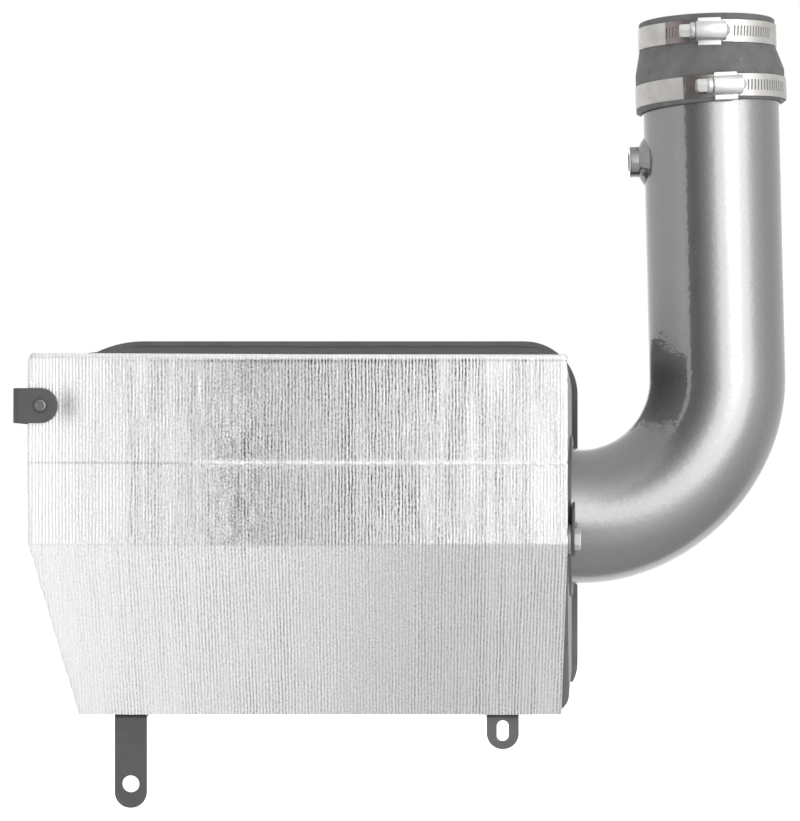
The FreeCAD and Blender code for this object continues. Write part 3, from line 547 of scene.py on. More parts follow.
# Sub-assemblies
@dataclass
class Layout:
    """Where the legs, the bend and the shield lie."""

    lean: float = 1.35
    port_height: float = 297.9
    bend_radius: float = 82.55
    wall_to_bend: float = 6.0
    side_draft: float = 4.75

    @property
    def leg_rise(self) -> float:
        """Height of the long leg from the bend to the port."""
        return self.port_height - self.bend_radius * (1 + math.sin(math.radians(self.lean)))

    @property
    def bend_x(self) -> float:
        """X of the bend's centre and of the short leg's start."""
        lean = math.radians(self.lean)
        return self.leg_rise * math.tan(lean) - self.bend_radius * math.cos(lean)

    @property
    def upper(self) -> Points:
        """Frame at the port with Z up the long leg."""
        return turn(self.lean, (0, -1, 0))

    @property
    def shield(self) -> Points:
        """Frame where the short leg meets the shield's side wall."""
        return shift(self.bend_x - self.wall_to_bend, 0, -self.port_height)

    @property
    def inward(self) -> Points:
        """Shield frame with Z along the short leg, into the shield."""
        return self.shield @ turn(90, (0, -1, 0))


@dataclass
class Pipe:
    """Bent tube and its sensor bung."""

    layout: Layout
    radius: float = 41.275
    wall: float = 1.65
    flattening: float = 1.3
    top: float = 31.7
    inner_reach: float = 60.0
    columns: int = 112
    leg_steps: int = 48
    bend_steps: int = 56
    inner_steps: int = 18
    bung_drop: float = 83.3
    bung_bore: float = 6.0
    bung_face: float = 49.975
    bung_radius: float = 9.5
    toe_radius: float = 14.7
    ripple: float = 0.32
    ripples: int = 13
    drill_from: float = 30.0
    drill_to: float = 48.0

    def path(self, shrink: float) -> Points:
        """Return the tube's rings, drawn in by shrink, from under the hose to the filter.

        A ring is centre + r cos a * outwards + R sin a * Y. In the bend the centre turns about the
        bend's centre and r loses flattening * sin(pi t) ** 2 / 2, as drawn tube does.
        """
        place, reach = self.layout, self.radius - shrink
        lean = math.radians(place.lean)
        share = np.linspace(0, 1, self.bend_steps)
        heading = lean - share * (math.pi / 2 + lean)
        outwards = np.stack([np.cos(heading), 0 * share, np.sin(heading)], axis=1)
        loss = self.flattening * np.sin(np.pi * share) ** 2 / 2
        middle = np.array([place.bend_x, 0, place.bend_radius - place.port_height])
        bend = middle + outwards * (place.bend_radius - loss)[:, None]
        down = np.array([math.sin(lean), 0, -math.cos(lean)])
        leg_end = place.leg_rise / math.cos(lean)
        leg = down * np.linspace(self.top, leg_end, self.leg_steps, endpoint=False)[:, None]
        foot = np.array([place.bend_x, 0, -place.port_height])
        further = np.linspace(0, place.wall_to_bend + self.inner_reach, self.inner_steps)[1:, None]
        inner = foot - np.array([1.0, 0, 0]) * further
        counts = np.ones(self.bend_steps, int)
        counts[[0, -1]] += [len(leg), len(inner)]
        normals = np.repeat(outwards, counts, axis=0)
        radii = reach - np.pad(loss, (len(leg), len(inner)))
        angle = np.linspace(0, 2 * np.pi, self.columns, endpoint=False)
        swing = normals[:, None] * np.cos(angle)[None, :, None] * radii[:, None, None]
        aside = reach * np.sin(angle)[None, :, None] * np.array([0, 1.0, 0])
        return np.concatenate([leg, bend, inner])[:, None] + swing + aside

    def tube(self) -> Piece:
        """Skin the outer rings down and the inner rings back, then drill the sensor hole."""
        outer, inner = self.path(0), self.path(self.wall)
        lip = (outer + inner) / 2
        grid = np.concatenate([lip[:1], outer, lip[-1:], inner[::-1]])
        piece = grid_skin("pipe_tube", grid, shading=Shading.SOFT)
        bore, low, high = self.bung_bore, self.drill_from, self.drill_to
        profile = np.array([[0, low], [bore, low], [bore, high], [0, high]])
        drill = grid_skin("drill", put(self.bung_frame(), revolve(profile, 32)), False)
        cut = piece.modifiers.new("sensor_hole", "BOOLEAN")
        cut.object, cut.operation, cut.solver = drill, "DIFFERENCE", "EXACT"
        bpy.context.view_layer.update()
        graph = bpy.context.evaluated_depsgraph_get()
        cutaway = bpy.data.meshes.new_from_object(piece.evaluated_get(graph))
        piece.modifiers.clear()
        piece.data = cutaway
        bpy.data.objects.remove(drill)
        return piece

    def bung_frame(self) -> Points:
        """Frame on the long leg's axis with Z out through the bung."""
        return self.layout.upper @ shift(z=-self.bung_drop) @ turn(90, (0, -1, 0))

    def bung(self) -> Piece:
        """Turned boss on a weld that follows the tube.

        Each ring (r, h) is lifted by the tube's fall sqrt(R2 - r2 sin2 a) - R times a weight that runs
        from 1 at the weld's toe to 0 at the boss, and the weld carries overlapping ripples.
        """
        bore, boss, toe = self.bung_bore, self.bung_radius, self.toe_radius
        corners = [(bore, 41.0, 0), (bore, self.bung_face, 0.5), (boss, self.bung_face, 0.8)]
        corners += [(boss, 44.2, 1.0), (11.8, 42.7, 2.2), (toe, 41.3, 0.3), (toe, 40.6, 0)]
        radius, height = rounded(corners, 5).T[..., None]
        angle = np.linspace(0, 2 * np.pi, 120, endpoint=False)
        weight = np.clip((radius - boss) / (toe - boss), 0, 1)
        weight += np.clip((41.2 - height) / 0.4, 0, 1) * (radius < boss - 1.5)
        bead = np.sin(np.clip((radius - boss - 0.2) / (toe - boss - 0.3), 0, 1) * np.pi)
        ripple = self.ripple * bead * np.abs(np.sin(angle * self.ripples + 5 * (radius - 9) / 9))
        fall = np.sqrt(self.radius**2 - (radius * np.sin(angle)) ** 2) - self.radius
        lift = height + fall * np.clip(weight, 0, 1) + ripple
        grid = np.stack([radius * np.cos(angle), radius * np.sin(angle), lift], axis=-1)
        return grid_skin("sensor_boss", put(self.bung_frame(), grid))

    def build(self, finishes: Finishes) -> None:
        """Make and dress the pipe's pieces."""
        install(self.tube(), "pipe_metal", ["intake_pipe"], finishes.pipe)
        install(self.bung(), "pipe_metal", ["sensor_bung"], finishes.pipe)


@dataclass
class Hose:
    """Rubber reducer with soft lips, pressed a little out of line by its clamps."""

    layout: Layout
    small: float = 36.5
    large: float = 41.375
    wall: float = 3.2
    lip_wall: float = 4.2
    length: float = 52.0
    upper: float = 16.5
    taper: float = 14.0
    aside: float = 1.3
    skew: float = 0.053
    columns: int = 160

    def build(self, finishes: Finishes) -> None:
        """Turn the section, move its small end aside, lower its large end at the left and dress it."""
        end = -self.upper - self.taper
        small, large = self.small + self.lip_wall, self.large + self.wall
        outside = [(self.small, 0, 0.5), (small, 0, 0.9), (small, -self.upper, 6.0), (large, end, 6.0)]
        bottom = [(large, -self.length, 0.9), (self.large, -self.length, 0.5)]
        inside = [(self.large, end, 4.0), (self.small, -self.upper, 4.0)]
        grid = revolve(rounded([*outside, *bottom, *inside], 7, True), self.columns)
        x, z = grid[..., 0].copy(), grid[..., 2].copy()
        grid[..., 0] -= self.aside * smooth(z, end, -self.upper + 3.0)
        grid[..., 2] += self.skew * x * smooth(-z, -end - 2.0, self.length - 3.0)
        piece = grid_skin("reducer_hose", put(self.layout.upper, grid), shading=Shading.SOFT)
        install(piece, "hose_rubber", ["coupler_hose"], finishes.hose)


@dataclass
class Clamp:
    """Worm-drive clamp: perforated band with its loose tail, pressed housing and screw."""

    name: str
    frame: Points
    inside: float
    band_width: float = 13.1
    band_thick: float = 0.7
    gap: float = 0.05
    pitch: float = 3.0
    slots_left: int = 11
    slots_from: float = 6.5
    slots_right: int = 20
    slot_half: float = 3.2
    slot_reach: float = 0.55
    slot_slant: float = 0.09
    filling: float = 7.0
    rubber: str = "hose_rubber"
    tail_right: int = 4
    barrel: float = 5.5
    barrel_length: float = 17.6
    sheet: float = 0.9
    saddle: float = 13.2
    lip: float = 1.7
    rise: float = 4.9
    collar: float = 4.9
    collar_length: float = 3.6
    flats: float = 7.4
    head: float = 6.2
    screw: float = 4.3
    sag: float = 0.55
    along: float = 0.0

    # First halves of a cell's outline and of its slot's, each point symmetrical to its other half
    cell_half = np.array([[-0.5, -1], [-0.17, -1], [0.17, -1], [0.5, -1], [0.5, -0.4], [0.5, 0.4]])
    hole_half = np.array([[-0.9, -0.92], [-0.4, -1], [0.4, -1], [0.9, -0.92], [1, -0.6], [1, 0.6]])
    long_sides, last_side, first_side = [0, 1, 2, 6, 7, 8], [3, 4, 5], [9, 10, 11]

    @staticmethod
    def lay(azimuth: Points, radius: Points, height: Points) -> Points:
        """Lay azimuth (degrees from -Y towards +X), radius and height onto the ring."""
        angle = np.radians(azimuth + 0 * radius)
        return np.stack([radius * np.sin(angle), -radius * np.cos(angle), height + 0 * angle], axis=-1)

    def plain(self, first: float, last: float, low: float) -> tuple[Points, Faces]:
        """Return the points and faces of plain strip between two azimuths, on an inner radius."""
        half, top = self.band_width / 2, low + self.band_thick
        azimuth = np.linspace(first, last, max(2, int(abs(last - first) / 2.0) + 1))
        section = rounded([(low, -half, 0.2), (top, -half, 0.2), (top, half, 0.2), (low, half, 0.2)], 2, True)
        grid = self.lay(azimuth[:, None], *section.T[:, None])
        return grid.reshape(-1, 3), capped(*grid.shape[:2])

    def slotted(self, first: float, last: float, low: float) -> tuple[Points, Faces]:
        """Return the points and faces of slotted strip between two azimuths, on an inner radius.

        A cell is a frame between its own outline and its slot's, each of twelve points, on an inner
        and an outer radius; a point (s, z) goes to (rho sin s, -rho cos s, z).
        """
        cells = int(round((last - first) / self.pitch))
        outline = np.concatenate([self.cell_half, -self.cell_half]) * [self.pitch, self.band_width / 2]
        reach = math.degrees(self.slot_reach / (low + self.band_thick / 2))
        hole = np.concatenate([self.hole_half, -self.hole_half]) * [reach, self.slot_half]
        hole[:, 0] += hole[:, 1] * self.slot_slant
        middles = first + self.pitch * (np.arange(cells) + 0.5)
        plan = np.stack([outline, hole])[None] + np.stack([middles, 0 * middles], axis=1)[:, None, None]
        azimuth, height = plan[:, None, ..., 0], plan[:, None, ..., 1]
        levels = np.array([low, low + self.band_thick])[None, :, None, None]
        points = self.lay(azimuth, levels + 0 * azimuth, height)
        index = np.arange(cells * 48).reshape(cells, 2, 2, 12)
        faces = between(index[:, :, 0], index[:, :, 1]).reshape(-1, 4)
        holes = between(index[:, 0, 1], index[:, 1, 1]).reshape(-1, 4)
        walls = between(index[:, 0, 0], index[:, 1, 0])
        edges = [walls[:, self.long_sides].reshape(-1, 4)]
        edges += [walls[0, self.first_side], walls[-1, self.last_side]]
        return points.reshape(-1, 3), np.concatenate([faces, holes, *edges]).tolist()

    def tail(self) -> Piece:
        """Return the strip's end that lies over the band, left of the housing, painted darker; a dark strip
        under its slots is painted shade in them.
        """
        left, last = -self.pitch * (self.slots_left + 1.5), self.pitch * (self.tail_right - 0.5)
        low = self.inside + self.band_thick + 0.02
        # A dark strip under the tail's slots: painted shade in them
        slot_shade = replace(self, band_width=self.filling, band_thick=0.4)
        filling = slot_shade.plain(left + self.pitch / 2, last, low)
        points, faces = joined([self.slotted(left, last, low), filling])
        return skin(f"{self.name}_tail", put(self.frame, points), faces)

    def band(self) -> Piece:
        """Join the slotted strip and the plain strip."""
        first, last = self.pitch * self.slots_from, self.pitch * (self.slots_right + 0.5)
        runs = [self.slotted(first, last, self.inside), self.plain(last, 360 + first, self.inside)]
        points, faces = joined(runs)
        return skin(f"{self.name}_strip", put(self.frame, points), faces)

    def swell(self) -> Piece:
        """Return the rubber that stands in the slots: a narrow strip just under the band's face."""
        strip = replace(self, band_width=self.filling, band_thick=0.42)
        first, last = self.pitch * self.slots_from, self.pitch * (self.slots_right + 0.4)
        points, faces = strip.plain(first, last, self.inside + 0.05)
        return skin(f"{self.name}_swell", put(self.frame, points), faces, Shading.SOFT)

    @property
    def seat(self) -> float:
        """Radius on which the housing stands."""
        return self.inside + 2 * self.band_thick + self.gap

    @property
    def drive(self) -> Points:
        """Frame of the screw and its barrel, moved along the band and down it."""
        return self.frame @ shift(x=self.along, z=-self.sag)

    def housing(self) -> tuple[Piece, Piece]:
        """Return the barrel and the saddle.

        A ring of the barrel is an arch: r sin t over the screw's line and r cos t beside it, with its
        legs drawn down to the band; the first and last rings are drawn in and the bore runs back inside.
        The saddle is one staple section carried round the band.
        """
        half, bore = self.barrel_length / 2, self.barrel - self.sheet
        rings = [(-half, self.barrel - 0.5), (-half + 0.15, self.barrel - 0.2), (-half + 0.6, self.barrel)]
        rings += [(-x, r) for x, r in rings[::-1]] + [(half - 0.1, bore), (-half + 0.1, bore)]
        along, radius = np.array(rings).T[..., None]
        angle = np.linspace(0, np.pi, 33)
        foot = 0 * radius + self.seat + 0.1
        up = np.concatenate([foot, self.seat + self.rise + radius * np.sin(angle), foot], axis=1)
        beside = np.concatenate([radius, radius * np.cos(angle), -radius], axis=1)
        grid = np.stack([along + 0 * up, -up, beside], axis=-1)
        barrel = grid_skin(f"{self.name}_barrel", put(self.drive, grid))
        side, inner, top = self.band_width / 2 + self.lip, self.band_width / 2 + 0.1, self.seat + self.sheet
        outside = [(self.inside, -side, 0.2), (top, -side, 0.8), (top, side, 0.8), (self.inside, side, 0.2)]
        within = [(self.inside, inner, 0.2), (self.seat, inner, 0.2)]
        within += [(radius, -across, edge) for radius, across, edge in within[::-1]]
        staple = rounded(outside + within, 3, True)
        reach = math.degrees(self.saddle / 2 / self.seat)
        grid = self.lay(np.linspace(-reach, reach, 9)[:, None], *staple.T[:, None])
        points = put(self.frame @ shift(z=-self.sag), grid).reshape(-1, 3)
        return barrel, skin(f"{self.name}_saddle", points, capped(*grid.shape[:2]))

    def worm(self) -> Piece:
        """Return the screw: hexagon head with chamfered corners, collar, shank in the barrel and tip.

        The head's radius at an angle is half the flats over the cosine of the angle from the flat's
        middle, cut down to the chamfer's circle at its free end.
        """
        half = self.barrel_length / 2 + self.gap
        start, collar, shank = -half - self.collar_length, self.collar, self.screw
        tip, face = half + shank / 2, start - self.head
        angle = np.linspace(0, 2 * np.pi, 72, endpoint=False)
        hexagon = self.flats / 2 / np.cos((angle + np.pi / 6) % (np.pi / 3) - np.pi / 6)
        head = [(face, 0), (face, 0.46), (face + 0.5, 0.53), (face + 0.9, 1), (start - 0.1, 1), (start, 0.52)]
        rings = [(x, np.minimum(hexagon, self.flats * share)) for x, share in head]
        turned = [
            (start, collar - 0.9), (start + 0.35, collar - 0.2), (start + 1.0, collar),
            (-half - 0.7, collar), (-half - 0.15, collar - 0.5), (-half - 0.1, shank - 0.6),
            (half - shank / 4, shank - 0.5), (half + 0.2, shank - 0.5), (half + 0.6, shank - 1.0),
            (tip, shank * 0.4), (tip, 0),
        ]
        rings += [(x, radius + 0 * angle) for x, radius in turned]
        x = np.array([[x] for x, _ in rings])
        radius = np.array([radius for _, radius in rings])
        swing = angle + np.pi / 6
        y = -radius * np.cos(swing) - self.seat - self.rise
        grid = np.stack([x + 0 * radius, y, radius * np.sin(swing)], axis=-1)
        return grid_skin(f"{self.name}_worm", put(self.drive, grid), False)

    def build(self, finishes: Finishes) -> None:
        """Make and dress the clamp's pieces."""
        barrel, saddle = self.housing()
        install(self.band(), "clamp_steel", [f"{self.name}_band"], finishes.band)
        install(self.tail(), "clamp_steel", [], finishes.tail)
        install(self.swell(), self.rubber, [], finishes.swell)
        install(barrel, "clamp_steel", [f"{self.name}_housing"], finishes.housing)
        install(saddle, "clamp_steel", [], finishes.housing)
        install(self.worm(), "screw_steel", [f"{self.name}_screw"], finishes.screw)


@dataclass(frozen=True)
class Spot:
    """Soft spot on the mat: strength * exp(-(distance over reach) ** 2).

    Across and down are shares of the mat's width and of its height, from its left and its top.
    """

    across: float
    down: float
    reach_across: float
    reach_down: float
    strength: float = 1.0

    def at(self, across: Points, down: Points) -> Points:
        """Return the spot's strength at the given places."""
        sideways = bell(across, self.across, self.reach_across)
        return self.strength * sideways * bell(down, self.down, self.reach_down)


@dataclass
class Mat:
    """Foil-faced mat on the shield's three facets, ribbed from top to bottom."""

    layout: Layout
    thick: float = 2.5
    front_depth: float = 82.5
    width: float = 322.2
    top: float = 95.88
    drop: float = 117.0
    tilt: float = 0.75
    ridge: float = 33.7
    crease: float = 12.1
    face_lean: float = 1.0
    facet: float = 30.0
    slant: float = 14.5
    flare: float = 0.05
    rib_pitch: float = 1.913
    rib_height: float = 0.3
    columns_per_rib: int = 5
    hem: float = 2.6
    seed: int = 5

    # Pressed flat, crumpled, wrinkled, dented and torn places, and the bracket's dark reflection painted as a
    # darker spot
    flat = Spot(0.5, 0.25, 0.17, 0.6, 0.42)
    crumples = (Spot(0.38, 0.22, 0.055, 0.13), Spot(0.385, 0.42, 0.05, 0.09))
    wrinkle = Spot(0.3, 0.2, 0.02, 0.12, 0.6)
    dents = (
        Spot(0.313, 0.095, 0.006, 0.03, 0.7),
        Spot(0.3, 0.2, 0.012, 0.05, -0.35),
        Spot(0.13, 0.99, 0.02, 0.02, -0.8),
    )
    tears = (Spot(0.385, 0.22, 0.06, 0.2), Spot(0.38, 0.44, 0.055, 0.1))
    shadow = Spot(0.074, 0.136, 0.018, 0.045, -0.34)

    # Along the width: tone of the upper facets and of the slope, painted lighter and darker for the light and
    # reflections each catches, and the depth of their lines of painted shade
    places = (0.0, 0.12, 0.19, 0.265, 0.347, 0.405, 0.473, 0.552, 0.645, 0.737, 0.83, 0.913, 0.97)
    levels = (
        (0.86, 0.78, 0.8, 0.79, 0.62, 0.53, 0.62, 0.66, 0.74, 0.79, 0.83, 0.83, 0.82),
        (0.99, 0.98, 0.97, 0.96, 0.925, 0.915, 0.873, 0.815, 0.73, 0.707, 0.738, 0.768, 0.76),
        (0.22, 0.34, 0.55, 0.54, 0.44, 0.42, 0.54, 0.63, 0.72, 0.8, 0.68, 0.72, 0.42),
        (0.2, 0.32, 0.42, 0.46, 0.5, 0.55, 0.48, 0.38, 0.31, 0.34, 0.44, 0.46, 0.36),
    )

    @property
    def drafted(self) -> float:
        """Slope of the shield's side walls."""
        return math.tan(math.radians(self.layout.side_draft))

    @property
    def sides(self) -> tuple[float, float]:
        """X of the sheet's left and right edges at its face."""
        return self.front_depth * self.drafted - self.width, -self.front_depth * self.drafted

    def profile(self, proud: float) -> Points:
        """Return the facets' corners (z, y) from top to bottom, proud of the shell by a thickness."""
        lean, facet = math.radians(self.face_lean), math.radians(self.facet)
        upper = -self.front_depth - proud / math.cos(lean) + (self.top - self.ridge) * math.tan(lean)
        lower = -self.front_depth - proud / math.cos(facet) + (self.drop - self.crease) * math.tan(facet)
        crease = -self.crease - proud * math.tan(facet / 2)
        face = -self.front_depth - proud
        return np.array([[self.top, upper], [self.ridge, face], [crease, face], [-self.drop, lower]])

    def stations(self) -> Points:
        """Return the rows' heights, closer together at the hem, the ridge and the crease."""
        heights = [
            self.top, self.top - self.hem - 1.0, self.ridge + 3.0, self.ridge - 3.0,
            -self.crease + 1.2, -self.crease - 2.8, -self.drop,
        ]
        spans = zip(heights, heights[1:], (8, 26, 12, 20, 7, 38))
        chain = [np.linspace(start, stop, count, endpoint=False) for start, stop, count in spans]
        return np.concatenate([*chain, [-self.drop]])

    def relief(self, x: Points, z: Points) -> Points:
        """Return how far the foil stands off its flat place.

        Ribs are height * ((0.5 - 0.5 cos(2 pi x / pitch)) ** 0.7 - 1); crushed places scale them down.
        The hem, the ridge line, wrinkles and dents are added as soft spots and seeded noise.
        """
        rows, columns = x.shape
        left, right = self.sides
        place = (x - left) / (right - left), (self.top - z) / (self.top + self.drop)
        across, down = place
        fine = value_noise(rows, columns, (rows // 2, columns // 9), self.seed)
        rough = value_noise(rows, columns, (rows // 2, 150), self.seed + 1)
        broad = value_noise(rows, columns, (6, 9), self.seed + 2)
        hem_line = self.hem + 0.5 * value_noise(rows, columns, (2, 40), self.seed + 3)
        hem = sigmoid((z - self.top + hem_line) * 4)
        ridge_rise = 0.15 + 0.5 * sigmoid((across - 0.32) * 30) * (1 + 0.6 * rough)
        ridge = bell(z, self.ridge, 0.5 + 0.8 * ridge_rise)
        flattened = sigmoid((0.51 - down) * 220) * self.flat.at(*place)
        crumpled = np.clip(sum(spot.at(*place) for spot in self.crumples), 0, 1) + self.wrinkle.at(*place)
        deep = (1 - flattened) * (1 - 0.75 * hem) * (1 - 0.6 * ridge)
        deep = deep * (1 - 0.5 * bell(z, -self.crease, 0.8)) * (1 - 0.55 * np.clip(crumpled, 0, 1))
        ribs = (0.5 - 0.5 * np.cos(2 * np.pi * (x - left) / self.rib_pitch)) ** 0.7 - 1
        height = self.rib_height * (1 + 0.25 * fine) * deep * ribs
        waves = 0.3 * broad + 0.12 * crumpled * rough + 0.05 * rough
        return height + 0.16 * hem + ridge_rise * ridge + waves + sum(spot.at(*place) for spot in self.dents)

    def sheet(self) -> Points:
        """Return the foil face as a (rows, columns, 3) grid in the shield's frame, cut to a wavy outline."""
        chain, knots = self.stations(), self.profile(self.thick)
        depth = np.interp(-chain, -knots[:, 0], knots[:, 1])
        left, right = self.sides
        rows, columns = len(chain), round((right - left) / self.rib_pitch) * self.columns_per_rib + 1
        drift = math.tan(math.radians(self.slant)) - math.tan(math.radians(self.facet)) * self.drafted
        ragged = value_noise(rows, 4, (26, 2), self.seed + 4)
        frayed = value_noise(rows, 4, (70, 2), self.seed + 10)
        corner = (1 - np.clip(self.top - chain, 0, 4) / 4) ** 2
        below = np.clip(-self.crease - chain, 0, None)
        near = left + below * drift + 0.35 * ragged[:, 0] + 2.0 * corner - 1.2 * bell(chain, 43.0, 20.0)
        far = right + below * self.flare + 0.5 * ragged[:, -1] + 0.5 * frayed[:, -1] + 0.3 - 1.2 * corner
        x = np.clip(np.linspace(left, right, columns)[None], near[:, None], far[:, None])
        z = np.repeat(chain[:, None], columns, 1)
        lift = self.relief(x, z)
        z = z + self.tilt * (1 - 2 * (x - left) / (right - left)) * smooth(z, -self.crease, self.top)
        edge = np.clip(np.minimum(x - near[:, None], far[:, None] - x) / 2.5, 0, 1)
        lift = lift * (0.25 + 0.75 * edge) - 0.5 * (1 - edge) ** 2
        slope = np.gradient(depth) / np.gradient(chain)
        outward = np.stack([0 * slope, -1 + 0 * slope, slope], axis=1) / np.sqrt(1 + slope**2)[:, None]
        base = np.stack([x, np.repeat(depth[:, None], columns, 1), z], axis=-1)
        return base + outward[:, None] * lift[..., None]

    def painted_light_and_wear(self, points: Points) -> Points:
        """Return the tone, the depth of the lines and the share of weave at each point.

        Levels of painted light run along the width between named places and differ on the sloping facet; soft
        spots and seeded noise in long upright streaks change them. The ridge and the hem get a painted
        highlight, the fold left of the ridge and the line under the hem painted shade, and the bracket's
        reflection a painted dark spot.
        """
        left, right = self.sides
        height = points[:, 2]
        across = np.clip((points[:, 0] - left) / (right - left), 0, 1)
        down = np.clip((self.top - height) / (self.top + self.drop), 0, 1)
        upper, lower, upper_lines, lower_lines = [np.interp(across, self.places, row) for row in self.levels]
        slope = smooth(down, 0.505, 0.52)
        rows, columns = 90, 700
        streaks = value_noise(rows, columns, (3, 90), self.seed + 7)
        streaks = streaks + 0.6 * value_noise(rows, columns, (5, 34), self.seed + 8)
        blots = value_noise(rows, columns, (34, 120), self.seed + 9)
        cell = (down * (rows - 1)).astype(int), (across * (columns - 1)).astype(int)
        streak, blot = streaks[cell], blots[cell]
        torn = np.clip(sum(spot.at(across, down) for spot in self.tears), 0, 1)
        middle = np.clip(1.2 - np.abs(across - 0.5) * 2.2, 0.15, 1)
        tone = blend(upper, lower, slope) + 0.05 * streak * middle + 0.09 * blot * torn
        # Painted reflection: the bracket's dark reflection on the foil
        tone = tone + self.shadow.at(across, down)
        # Painted highlight along the ridge and on the hem
        ridge, bright_from = self.ridge + self.tilt * 0.4 * (1 - 2 * across), smooth(across, 0.26, 0.36)
        hem = smooth(height, self.top - self.hem - 0.5, self.top - self.hem + 0.6)
        bright = np.clip(0.7 * bell(height, ridge, 1.5) * bright_from + hem, 0, 1)
        tone = blend(tone, 0.86 - 0.2 * hem, bright)
        # Painted shade at the fold left of the ridge and under the hem
        tone = tone - 0.2 * bell(height, ridge, 0.6) * (1 - bright_from)
        tone = tone - 0.16 * bell(height, self.top - self.hem - 1.0, 0.45)
        # Lines of painted shade in the grooves, fainter under the painted highlight
        lines = blend(upper_lines, lower_lines, slope) * (1 + 0.35 * streak) * (1 - 0.15 * torn)
        weave = (0.07 + 0.12 * torn + 0.08 * middle) * (1 - 0.6 * bright)
        return np.clip(np.stack([tone, lines * (1 - 0.85 * bright), weave, 1 + 0 * tone], axis=1), 0, 1)

    def closed(self, front: Points) -> tuple[Points, Faces]:
        """Close the foil face: a cut edge in two strips down to the shell, and a flat back per facet."""
        rows, columns = front.shape[:2]
        chain, knots = self.stations(), self.profile(0.0)
        back = front.copy()
        back[..., 1] = np.interp(-chain, -knots[:, 0], knots[:, 1])[:, None]
        back[..., 2] = chain[:, None]
        grid = np.arange(rows * columns).reshape(rows, columns)
        loop = np.concatenate([grid[0, :-1], grid[:-1, -1], grid[-1, :0:-1], grid[:0:-1, 0]])
        rim, seat = front.reshape(-1, 3)[loop], back.reshape(-1, 3)[loop]
        bulge = np.where((rim[:, :1] > front[..., 0].mean()), 0.35, -0.35) * np.array([1.0, 0, 0])
        points = np.concatenate([front.reshape(-1, 3), (rim + seat) / 2 + bulge, seat])
        rings = [loop, *[grid.size + k * len(loop) + np.arange(len(loop)) for k in (0, 1)]]
        walls = np.concatenate([between(first, second) for first, second in zip(rings, rings[1:])])
        seat_of = np.zeros(rows * columns, int)
        seat_of[loop] = rings[-1]
        bends = [0, *[int(np.abs(chain - z).argmin()) for z in (self.ridge, -self.crease)], rows - 1]
        backs = []
        for low, high in zip(bends, bends[1:]):
            top = grid[low] if low == 0 else grid[low, [0, -1]]
            bottom = grid[high, ::-1] if high == rows - 1 else grid[high, [-1, 0]]
            ring = [top, grid[low + 1 : high, -1], bottom, grid[high - 1 : low : -1, 0]]
            backs.append(seat_of[np.concatenate(ring)].tolist())
        return points, quads(rows, columns, False).tolist() + walls.tolist() + backs

    def build(self, finishes: Finishes) -> None:
        """Skin the mat and give its cut edges and back the fibre."""
        points, faces = self.closed(self.sheet())
        across = points[:, :1] - points[:, 0].min()
        uv = np.concatenate([across, -points[:, 2:]], axis=1)[np.concatenate(faces)] * MM
        piece = skin("foil_mat", put(self.layout.shield, points), faces, Shading.SOFT, uv)
        install(piece, "mat_foil", ["insulation_mat"], finishes.foil, finishes.fibre)
        corners = np.zeros(len(piece.data.vertices) * 3, np.float32)
        piece.data.vertices.foreach_get("co", corners)
        local = corners.reshape(-1, 3) / MM - self.layout.shield[:3, 3]
        layer = piece.data.color_attributes.new("painted_light_and_wear", "FLOAT_COLOR", "POINT")
        layer.data.foreach_set("color", self.painted_light_and_wear(local).astype(np.float32).ravel())
        normals = np.zeros(len(piece.data.polygons) * 3, np.float32)
        piece.data.polygons.foreach_get("normal", normals)
        x, y, z = normals.reshape(-1, 3).T
        cut = (np.abs(x) > 0.7) | (y > 0.3) | (z < -0.93)
        piece.data.polygons.foreach_set("material_index", cut.astype(np.int32))


